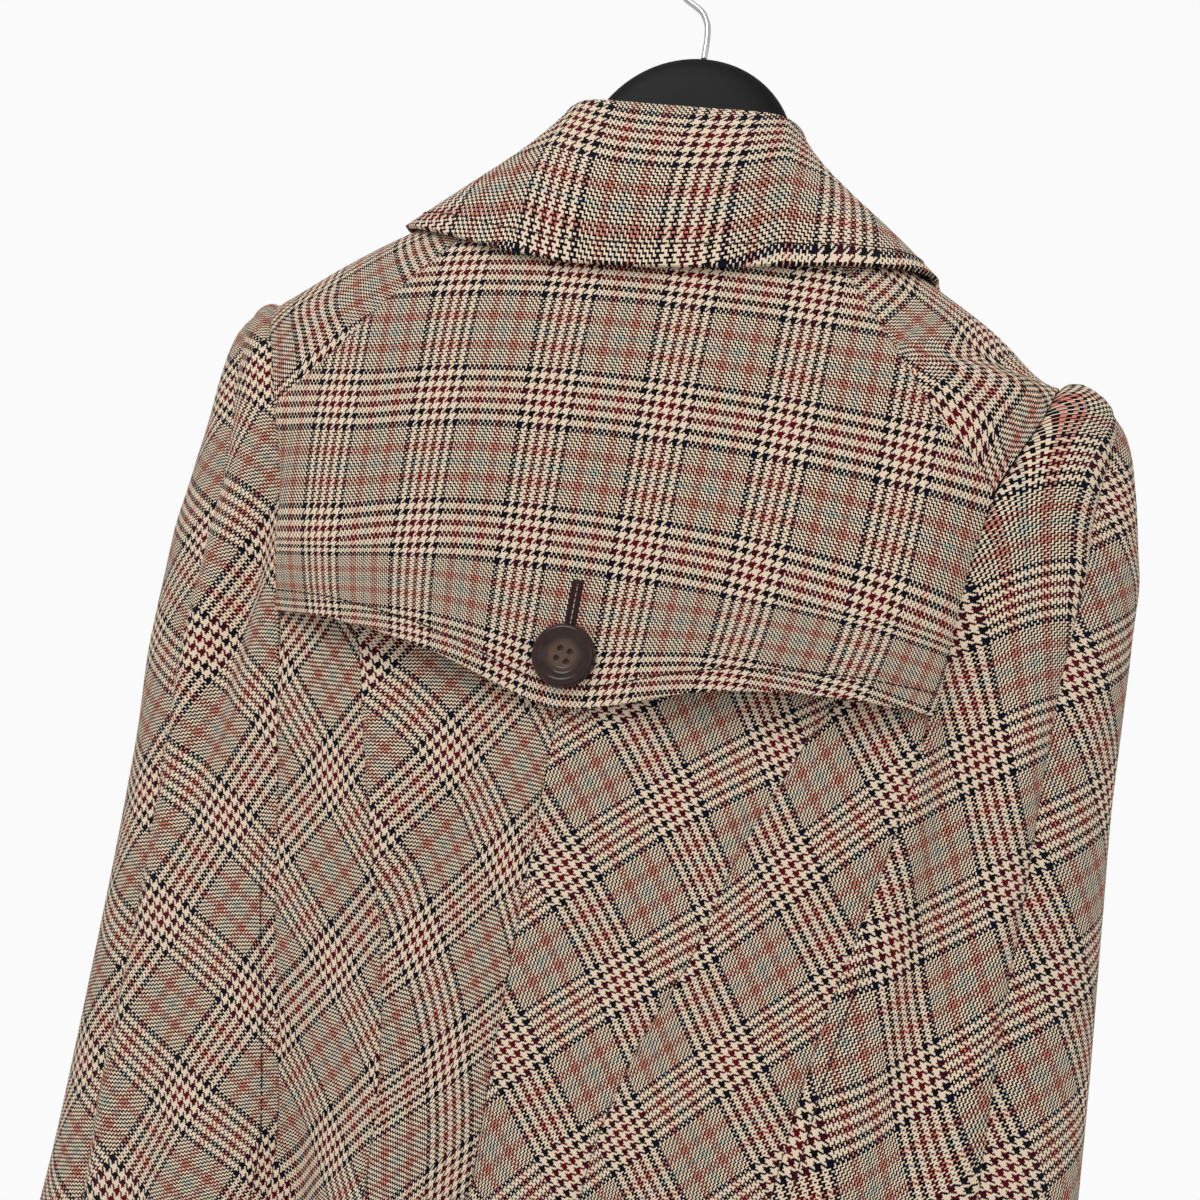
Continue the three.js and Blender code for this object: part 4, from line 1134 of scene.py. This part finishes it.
@dataclass
class Button:
    """A four-hole horn button with a raised rim."""

    radius: float = 14.0
    thickness: float = 4.6
    hole_radius: float = 1.15
    hole_spread: float = 2.3

    def height(self, x: Array, y: Array) -> Array:
        """The top's height above the cloth: a dish inside a round rim, less four steep holes."""
        r = np.hypot(x, y)
        rim = self.thickness * np.sqrt(np.clip(1 - (np.clip(r - 11.4, 0, None) / 2.6) ** 2.4, 0, 1))
        dish = mix(self.thickness - 2.2, self.thickness, ease(6.5, 11.2, r) ** 1.3)
        top = np.where(r > 11.4, rim, dish) + 0.25 * bell(r - 6.2, 0.7)
        for sx in (-1, 1):
            for sy in (-1, 1):
                away = np.hypot(x - sx * self.hole_spread, y - sy * self.hole_spread)
                top = top - 1.9 * (1 - ease(self.hole_radius - 0.25, self.hole_radius + 0.25, away))
        return np.maximum(top, 0.35)

    def build(self, name: str, seat: Array, normal: Array, spin: float) -> bpy.types.Object:
        """Builds a button as a height field over rings and spokes, closed by a flat back.

        Args:
            name: the piece's name.
            seat: the point of the cloth under its middle, in millimetres.
            normal: the direction it faces.
            spin: its turn about its own axis, in degrees.

        Returns:
            The piece.
        """
        rim = [13.6, 13.85, 13.97, 14.0]
        rings = np.concatenate([np.linspace(0, 5.2, 27), np.linspace(5.6, 13.2, 16), rim])
        spokes = np.linspace(0, 2 * np.pi, 73)[:-1]
        r, a = np.meshgrid(rings, spokes, indexing="ij")
        x, y = r * np.cos(a), r * np.sin(a)
        top = np.stack([x, y, self.height(x, y)], -1)
        under = np.stack([x, y, np.where(r > 13.0, 1.1 - 0.55 * (14 - r), 0.0)], -1)
        count = len(spokes)
        grid = np.concatenate([top, under[::-1]]).reshape(-1, 3)
        index = np.arange(len(grid)).reshape(-1, count)
        index[0] = index[0, 0]
        index[-1] = index[-1, 0]
        uv = grid[:, :2].copy()
        side = unit(np.cross(normal, [0.0, 0.0, 1.0]))
        up = np.cross(side, normal)
        turn = math.radians(spin)
        ex, ey = math.cos(turn) * side + math.sin(turn) * up, math.cos(turn) * up - math.sin(turn) * side
        points = seat + grid[:, :1] * ex + grid[:, 1:2] * ey + grid[:, 2:] * normal
        return mesh_piece(name, points, ring_quads(index), uv, sharp=70.0)


def tube(path: Array, radius: Array | float, sides: int) -> tuple[Array, Array]:
    """A closed round tube along a path.

    Each ring lies across the path in a frame carried along it; the ends are fans.

    Args:
        path: points in millimetres.
        radius: one radius or one for each point.
        sides: corners of a ring.

    Returns:
        Points and quads.
    """
    tangent = unit(np.gradient(path, axis=0))
    across = unit(np.cross(tangent, [0.0, 1.0, 0.03]))
    other = np.cross(tangent, across)
    a = np.linspace(0, 2 * np.pi, sides + 1)[:-1]
    size = np.broadcast_to(radius, len(path))[:, None, None]
    ring = across[:, None] * np.cos(a)[None, :, None] + other[:, None] * np.sin(a)[None, :, None]
    return closed_loft(path[:, None] + ring * size, path[[0, -1]])


@dataclass
class Hanger:
    """The moulded hanger and its wire hook."""

    coat: Coat
    dome_top_z: float = -66.5
    dome_radius: float = 53.0
    seat: float = 0.8
    wire_radius: float = 1.6
    hook_radius: float = 21.0

    def stations(self) -> Array:
        """Cross-sections along X: place, top, bottom and half depth."""
        x = self.dome_radius * np.sin(np.linspace(0, 1, 24) * math.pi / 2 * 0.975)
        share = x / self.dome_radius
        top = self.dome_top_z - self.dome_radius + np.sqrt(self.dome_radius**2 - x**2)
        dome = np.stack([x, top, mix(-196.0, -194.0, share), mix(8.0, 9.0, share)], -1)
        height = spread(-165.0, YOKE_END_Z, 2.6)
        angle, z = self.coat.yoke_place(Side.LEFT, np.zeros(len(height)), height)
        sink = WALL + self.seat * mix(1, 3, ease(-185, -210, z))
        crest = self.coat.skin.point(angle, z) - self.coat.skin.outward(angle, z) * sink[:, None]
        along = np.clip((crest[:, 0] - 54.5) / 131, 0, 1)
        under = crest[:, 2] - mix(46, 20, ease(0, 0.9, along))
        arm = np.stack([crest[:, 0], crest[:, 2], under, mix(9, 14, along)], -1)
        arm = arm[arm[:, 0] > 56.0]
        neck = np.array([[54.5, -140.0, -193.5, 9.0]])
        tip = arm[-1] + np.array([[0.9, -1.5, 1.2, -1.6], [1.5, -5.0, 4.0, -6.0]])
        return np.concatenate([dome, neck, arm, tip])

    def body(self) -> bpy.types.Object:
        """The moulding: rounded sections, a superellipse of power 2.3, lofted along X."""
        half = self.stations()
        mirrored = half[1:][::-1] * np.array([-1.0, 1.0, 1.0, 1.0])
        s = np.concatenate([mirrored, half])
        a = np.linspace(0, 2 * np.pi, 49)[:-1]
        size = (np.abs(np.sin(a)) ** 2.3 + np.abs(np.cos(a)) ** 2.3) ** (-1 / 2.3)
        y = s[:, 3:4] * (size * np.sin(a))[None]
        z = (s[:, 1:2] + s[:, 2:3]) / 2 + (s[:, 1:2] - s[:, 2:3]) / 2 * (size * np.cos(a))[None]
        rings = np.stack([np.broadcast_to(s[:, :1], y.shape), y, z], -1)
        ends = s[[0, -1]]
        tips = np.stack([ends[:, 0], np.zeros(2), (ends[:, 1] + ends[:, 2]) / 2], -1)
        return mesh_piece("hanger_moulding", *closed_loft(rings, tips), sharp=60.0)

    def hook(self) -> bpy.types.Object:
        """The wire: a stem, a bend to the wearer's left and a round loop."""
        deg = np.radians(np.arange(-48, 205, 6))
        loop = np.stack([np.cos(deg), np.sin(deg)], -1) * self.hook_radius
        loop[:, 1] += self.wire_radius - self.hook_radius
        top = self.dome_top_z
        bends = ((top + SEAM_GAP, 0), (top + 8, 0), (top + 16, 0.6), (top + 24, 4))
        stem = Table(("z", "x"), (*bends, (loop[0, 1], loop[0, 0])))
        z = np.linspace(top + SEAM_GAP, loop[0, 1], 24)[:-1]
        path = np.concatenate([np.stack([stem.smooth("x", z), z], -1), loop])
        path = np.stack([path[:, 0], np.zeros(len(path)), path[:, 1]], -1)
        points, quads = tube(path, self.wire_radius, 20)
        return mesh_piece("hook_wire_round", points, quads)


@dataclass
class Stitching:
    """Stitches laid on the cloth, each a short slim bead of thread."""

    stitch: float = 2.7
    gap: float = 0.4
    radius: float = 0.38

    def beads(self, starts: Array, ends: Array, normals: Array) -> tuple[Array, Array]:
        """Beads between pairs of points.

        Each bead is five rings of six points, thicker in the middle, its ends sunk in the cloth.

        Args:
            starts: one row per stitch.
            ends: one row per stitch.
            normals: the cloth's outward direction at each stitch.

        Returns:
            Points and quads.
        """
        share = np.array([0.0, 0.15, 0.5, 0.85, 1.0])[None, :, None]
        centre = mix(starts[:, None], ends[:, None], share)
        out = np.broadcast_to(unit(normals)[:, None], centre.shape)
        forward = np.broadcast_to(unit(ends - starts)[:, None], centre.shape)
        side = unit(np.cross(out, forward))
        size = self.radius * np.array([0.45, 0.9, 1.0, 0.9, 0.45])[None, :, None, None]
        sink = np.array([-0.25, 0.05, 0.16, 0.05, -0.25])[None, :, None]
        a = np.linspace(0, 2 * np.pi, 7)[:-1][None, None, :, None]
        ring = side[:, :, None] * np.cos(a) + out[:, :, None] * np.sin(a)
        points = (centre + out * sink)[:, :, None] + ring * size
        index = np.arange(len(starts) * 30).reshape(-1, 5, 6)
        corners = ((0, (3, 2, 1, 0)), (0, (5, 4, 3, 0)), (4, (0, 1, 2, 3)), (4, (0, 3, 4, 5)))
        caps = [np.stack([index[:, e, k] for k in four], -1) for e, four in corners]
        return points.reshape(-1, 3), np.concatenate([ring_quads(index), *caps])

    def along(self, line: Array, normal: Array) -> tuple[Array, Array, Array]:
        """Starts, ends and directions of the stitches of one row along a line."""
        distance = arc(line, 0)
        starts = np.arange(0.6, distance[-1] - self.stitch, self.stitch + self.gap)

        def at(values: Array, places: Array) -> Array:
            """Reads a value along the line."""
            return np.stack([np.interp(places, distance, values[:, k]) for k in range(3)], -1)

        return at(line, starts), at(line, starts + self.stitch), at(normal, starts + self.stitch / 2)

    def row(self, name: str, line: Array, normal: Array) -> bpy.types.Object:
        """One piece of all the stitches along a line."""
        return mesh_piece(name, *self.beads(*self.along(line, normal)), sharp=80.0)


@dataclass
class Buttonhole:
    """The worked buttonhole: two close columns of thread that meet over the slit, and a bar."""

    length: float = 34.0
    half_width: float = 2.8
    overlap: float = 0.1
    pitch: float = 0.43
    uneven: float = 0.12
    thread_radius: float = 0.26

    def build(self, name: str, top: Array, down: Array, side: Array, normal: Array) -> bpy.types.Object:
        """Builds the buttonhole from its top.

        Args:
            name: the piece's name.
            top: the middle of its upper end on the cloth, in millimetres.
            down: the direction along it.
            side: the direction across it.
            normal: the cloth's outward direction.

        Returns:
            The piece.
        """
        steps = np.arange(0.0, self.length, self.pitch)[:, None]
        reach = self.half_width + self.uneven * np.sin(steps * 7.3)
        middle = top + steps * down
        starts = [middle - side * (self.overlap * sign) for sign in (-1, 1)]
        ends = [middle + side * (reach * sign) for sign in (-1, 1)]
        bar = top + np.array([[-0.5], [0.1], [0.7]]) * down
        starts.append(bar - side * self.half_width)
        ends.append(bar + side * self.half_width)
        first, last = np.concatenate(starts), np.concatenate(ends)
        facing = np.broadcast_to(normal, first.shape)
        return mesh_piece(name, *Stitching(radius=self.thread_radius).beads(first, last, facing), sharp=80.0)


def set_at(right: Array, up: Array, back: Array, place: Array) -> Matrix:
    """The matrix of a camera or lamp at a place in metres, with its three axes."""
    rows = np.stack([right, up, back, place], axis=-1)
    return Matrix([*rows.tolist(), [0.0, 0.0, 0.0, 1.0]])


@dataclass(frozen=True)
class Camera:
    """The photograph's camera: place in millimetres, turns in radians, focal length in pixels."""

    place: tuple[float, float, float] = (-147.5, 727.4, -437.4)
    yaw: float = 0.2075
    pitch: float = 0.1243
    roll: float = 0.17
    focal: float = 1559.5
    frame_width: float = 1200.0

    def build(self) -> None:
        """Adds the camera.

        It looks along -Y, turned by yaw about Z, raised by pitch and rolled about its own axis.
        """
        cy, sy = math.cos(self.yaw), math.sin(self.yaw)
        turn = np.array([[cy, -sy, 0], [sy, cy, 0], [0, 0, 1]])
        forward = turn @ np.array([0, -math.cos(self.pitch), math.sin(self.pitch)])
        right = turn @ np.array([-1.0, 0, 0])
        up = np.cross(right, forward)
        cr, sr = math.cos(self.roll), math.sin(self.roll)
        right, up = cr * right + sr * up, -sr * right + cr * up
        data = bpy.data.cameras.new("photo_camera")
        data.sensor_fit = "HORIZONTAL"
        data.sensor_width = 36.0
        data.lens = self.focal / self.frame_width * data.sensor_width
        data.clip_start = 0.02
        camera = bpy.data.objects.new("photo_camera", data)
        camera.matrix_world = set_at(right, up, -forward, np.array(self.place) * MM)
        bpy.context.scene.collection.objects.link(camera)
        bpy.context.scene.camera = camera


@dataclass(frozen=True)
class Lamp:
    """A soft square light that faces a point."""

    name: str
    place: tuple[float, float, float]
    size: float
    power: float
    target: tuple[float, float, float] = (0.0, 0.0, -0.5)

    def build(self) -> None:
        """Adds the light, turned so that its face looks at the target."""
        data = bpy.data.lights.new(self.name, "AREA")
        data.size = self.size
        data.energy = self.power
        lamp = bpy.data.objects.new(self.name, data)
        toward = np.array(self.target) - np.array(self.place)
        back = unit(-toward)
        side = unit(np.cross([0.0, 0.0, 1.0], back))
        lamp.matrix_world = set_at(side, np.cross(back, side), back, np.array(self.place))
        bpy.context.scene.collection.objects.link(lamp)


@dataclass(frozen=True)
class Studio:
    """A pale floor, a white room and soft lights.

    The camera sees the room as a white backdrop; the coat is lit by a dimmer one.
    """

    floor_z: float = -1.16
    floor_half: float = 1.15
    floor_colour: Colour = (0.92, 0.92, 0.91)
    backdrop: float = 0.96
    backdrop_colour: Colour = (1.0, 1.0, 1.0)
    room: float = 0.55
    room_colour: Colour = (1.0, 0.985, 0.98)
    lamps: tuple[Lamp, ...] = (
        Lamp("key", (0.7, 1.7, 1.3), 1.2, 19.0),
        Lamp("fill", (-1.6, 1.2, 0.1), 1.6, 3.0),
        Lamp("front", (0.3, -1.9, 0.5), 1.6, 6.0),
    )

    def floor(self) -> None:
        """Adds the floor to the scene."""
        h, z = self.floor_half, self.floor_z
        mesh = bpy.data.meshes.new("floor")
        mesh.from_pydata([(-h, -h, z), (h, -h, z), (h, h, z), (-h, h, z)], [], [(0, 1, 2, 3)])
        floor = bpy.data.objects.new("floor", mesh)
        floor.data.materials.append(
            PlainFinish("pale_floor", self.floor_colour, 0.8, grain=0.01, scale=6.0).make()
        )
        bpy.context.scene.collection.objects.link(floor)

    def room_light(self) -> None:
        """Sets the room: rays from the camera meet the backdrop, all others the dimmer room."""
        world = bpy.data.worlds.new("white_room")
        world.use_nodes = True
        tree = world.node_tree
        seen = tree.nodes["Background"]
        unseen = tree.nodes.new("ShaderNodeBackground")
        for node, strength, colour in (
            (seen, self.backdrop, self.backdrop_colour), (unseen, self.room, self.room_colour)
        ):
            node.inputs["Strength"].default_value = strength
            node.inputs["Color"].default_value = (*colour, 1.0)
        ray = tree.nodes.new("ShaderNodeLightPath")
        both = tree.nodes.new("ShaderNodeMixShader")
        tree.links.new(ray.outputs["Is Camera Ray"], both.inputs[0])
        tree.links.new(unseen.outputs[0], both.inputs[1])
        tree.links.new(seen.outputs[0], both.inputs[2])
        tree.links.new(both.outputs[0], tree.nodes["World Output"].inputs["Surface"])
        bpy.context.scene.world = world

    def build(self) -> None:
        """Adds the floor, the room's light and the lamps."""
        self.floor()
        self.room_light()
        for lamp in self.lamps:
            lamp.build()
        bpy.context.scene.view_settings.view_transform = "Standard"


GRAINS = {
    "storm_flap": Grain(
        (0, 154), (-160, 58, 104, 250),
        (65.9, 184, 2.4, 2.5, 14, 0.8, 0.9, 4, 4.6, -1.5),
        (-25.9, -0.4, 150.7, -9.2, 1.3, 3, -2.3, -6.8, 0.2, 1.5),
    ),
    "collar": Grain(
        (0, 89), (-110, 50, 110, 128),
        (89.7, -137.7, 1, -2.7, -4.5, -14.8),
        (-9.8, 3.5, -111.5, -0.9, 10.8, 40.9),
    ),
    "back_left": Grain(
        (-1.5, 371), (-45, 262, 42, 480),
        (-38.7, -164.3, -85.5, 60.6, -57.6, 27.8),
        (36.2, 152.8, -144.4, -27.9, 20.8, -18.5),
    ),
    "back_right": Grain(
        (-2.5, 382.5), (-45, 290, 40, 475),
        (-3.8, 126.2, 116.8, -16, 9.2, -0.1),
        (-86.4, 143.9, -133.5, 31.2, -1.5, 0.1),
    ),
    "side_back_left": Grain(
        (0, 169), (-28, 48, 28, 290),
        (46.7, -162.9, -118.9, 12.9, -19.3, -12.3),
        (60.8, 143.2, -123.4, -20.1, -4.2, -3.4),
    ),
    "side_back_right": Grain(
        (2.5, 154), (-30, 48, 35, 260),
        (-23.4, 136.8, 101.8, -17.4, -1.4, 9.7),
        (87, 141.1, -133.8, -16, 6.7, -2.4),
    ),
    "cape_back_left": Grain(
        (-10, 237.5), (-60, 30, 40, 445),
        (78.3, -77.3, -149.6, 64.1, 6.1, -7.5, -54.7, -22.2, 5.7, 1.1),
        (57, 127.8, -79.5, -4.8, 0.4, 3.3, -8.8, -29.6, 5.4, -1.4),
    ),
    "cape_back_right": Grain(
        (-2, 205), (-25, 40, 34, 262),
        (130.3, 101.8, 135.6, -19.9, 26.2, -4.8, -119.5, 81.7, -16.9, 0.3),
        (27.7, 166, -74.5, -8, 24, -18.8, -208.2, -48.4, -19.3, 2.4),
    ),
    "yoke_left": Grain((60, 105), ends=(66, 163, 0), picks=(83, -15, 178)),
    "yoke_right": Grain((58, 94), ends=(62, 157, 0, 35), picks=(72, -30, 168)),
    "cape_front_left": Grain((0, 240), ends=(10, -68, -152), picks=(30, 127, -82)),
    "cape_front_right": Grain((0, 240), ends=(10, 83, 144), picks=(30, 127, -82)),
    "front_left": Grain((0, 240), ends=(22, -178, 0), picks=(0, 0, 151)),
    "front_right": Grain((0, 240), ends=(22, 178, 0), picks=(0, 0, 151)),
}


def dress(piece: bpy.types.Object, finish: bpy.types.Material, node: str = "") -> None:
    """Gives a piece its finish and slot, and puts it in place of a node where it has one."""
    piece.data.materials.append(finish)
    if node:
        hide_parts(node)
    log.info("%s", piece.name)


@dataclass
class Dressing:
    """Builds and dresses every piece of the coat and the hanger."""

    coat: Coat = field(default_factory=Coat)
    flap_button_z: float = -381.0
    buttonhole_rise: float = 33.0
    seam_stitch_top: float = -480.0
    seam_stitch_inset: float = 7.0
    front_button_z: tuple[float, ...] = (-262.0, -372.0, -482.0, -592.0)
    walls: dict[str, Wall] = field(default_factory=dict)

    def cloth_walls(self) -> dict[str, Wall]:
        """Every cloth wall by its node's name."""
        walls: dict[str, Wall] = {}
        for side in Side:
            for word in ("back", "side_back", "cape_back", "cape_front", "front", "yoke"):
                walls[f"{word}_{side.word}"] = getattr(self.coat, word)(side)
        walls["storm_flap"] = self.coat.flap()
        walls["collar"] = self.coat.collar()
        return walls

    def cloth(self) -> None:
        """Makes the cloth pieces, each in place of its node."""
        finish = GlenCheck().make()
        self.walls = self.cloth_walls()
        for node, wall in self.walls.items():
            uv = GRAINS[node].place(wall.across, wall.along)
            points = np.concatenate([wall.outer.reshape(-1, 3), wall.inner.reshape(-1, 3)])
            piece = mesh_piece(f"{node}_cloth", points, wall.faces(), np.concatenate([uv, uv]))
            dress(piece, finish, node)
            width, length, area = wall.flat_size()
            area = min(area, width * length)
            log.info("%.0f x %.0f mm, %.4f m2", width / MM, length / MM, area)

    def buttons(self) -> None:
        """Makes the button on the flap and those down the front."""
        horn = Horn().make()
        skin, coat = self.coat.skin, self.coat
        edge_z = float(FLAP_EDGE.smooth("z", 0.0))

        def on_flap(z: float) -> Array:
            """The flap's outer face at the centre back."""
            centre = np.array(0.0)
            height = coat.flap_lift(centre, np.array((PRINCESS_TOP_Z - z) / (PRINCESS_TOP_Z - edge_z)))
            return skin.point(centre, np.array(z)) + skin.outward(centre, np.array(z)) * height

        drop = unit(on_flap(self.flap_button_z + 14) - on_flap(self.flap_button_z - 14))
        normal = np.array([0.0, drop[2], -drop[1]])
        places = [("button_back", on_flap(self.flap_button_z), normal, 12.0)]
        for k, z in enumerate(self.front_button_z, start=1):
            facing = skin.outward(np.array(math.pi), np.array(z))
            seat = skin.point(np.array(math.pi), np.array(z)) + facing * FRONT_LIFT
            places.append((f"button_front_{k}", seat, facing, 9.0 * k))
        for node, seat, facing, spin in places:
            piece = Button().build(f"{node}_horn", seat + facing * 2 * SEAM_GAP, facing, spin)
            dress(piece, horn, node)

    def topstitching(self, thread: bpy.types.Material) -> None:
        """Makes the rows of topstitching on the flap, the collar and beside the cape seams."""
        coat, collar = self.coat, self.walls["collar"]
        if (collar.outer - collar.inner)[-1, collar.outer.shape[1] // 2, 1] < 0:
            collar = Wall(collar.inner, collar.outer, collar.across, collar.along)
        lines = {
            "flap_topstitch": inset_line(self.walls["storm_flap"], coat.flap_topstitch),
            "collar_topstitch": inset_line(collar, coat.collar_topstitch),
        }
        for side in Side:
            line, normal = inset_line(self.walls[f"cape_back_{side.word}"], self.seam_stitch_inset, False)
            low = line[:, 2] < self.seam_stitch_top
            lines[f"cape_topstitch_{side.word}"] = (line[low], normal[low])
        for name, line in lines.items():
            dress(Stitching().row(name, *line), thread)

    def buttonhole(self, thread: bpy.types.Material) -> None:
        """Makes the worked buttonhole, down the flap's middle from above its button."""
        flap = self.walls["storm_flap"]
        middle = flap.outer.shape[1] // 2
        column, out = flap.outer[:, middle], unit(flap.outer - flap.inner)[:, middle]
        z = self.flap_button_z + self.buttonhole_rise

        def on_column(values: Array, height: float) -> Array:
            """Reads a value of the flap's middle column at a height."""
            return np.array([np.interp(-height, -column[:, 2], values[:, k]) for k in range(3)])

        top, lower = on_column(column, z), on_column(column, z - 30.0)
        across = np.array([1.0, 0.0, 0.0])
        hole = Buttonhole().build("buttonhole", top, unit(lower - top), across, on_column(out, z - 15))
        dress(hole, thread)

    def stitching(self) -> None:
        """Makes all sewing that shows."""
        thread = PlainFinish("dark_thread", linear(46, 16, 20), 0.7, grain=0.2, scale=2500.0).make()
        self.topstitching(thread)
        self.buttonhole(thread)

    def hanger(self) -> None:
        """Makes the hanger's moulding and its hook."""
        moulding = PlainFinish(
            "black_moulding", linear(13, 12, 15), 0.4, grain=0.1, scale=900.0, specular=0.15
        )
        wire = PlainFinish("plated_wire", (0.72, 0.72, 0.74), 0.14, metallic=1.0, grain=0.03)
        hanger = Hanger(self.coat)
        dress(hanger.body(), moulding.make(), "hanger_body")
        dress(hanger.hook(), wire.make(), "hanger_hook")


def main() -> None:
    """Builds the camera, the studio and every piece."""
    logging.basicConfig(level=logging.INFO, format="%(name)s: %(message)s")
    Camera().build()
    Studio().build()
    dressing = Dressing()
    dressing.cloth()
    dressing.stitching()
    dressing.buttons()
    dressing.hanger()


if __name__ == "__main__":
    main()
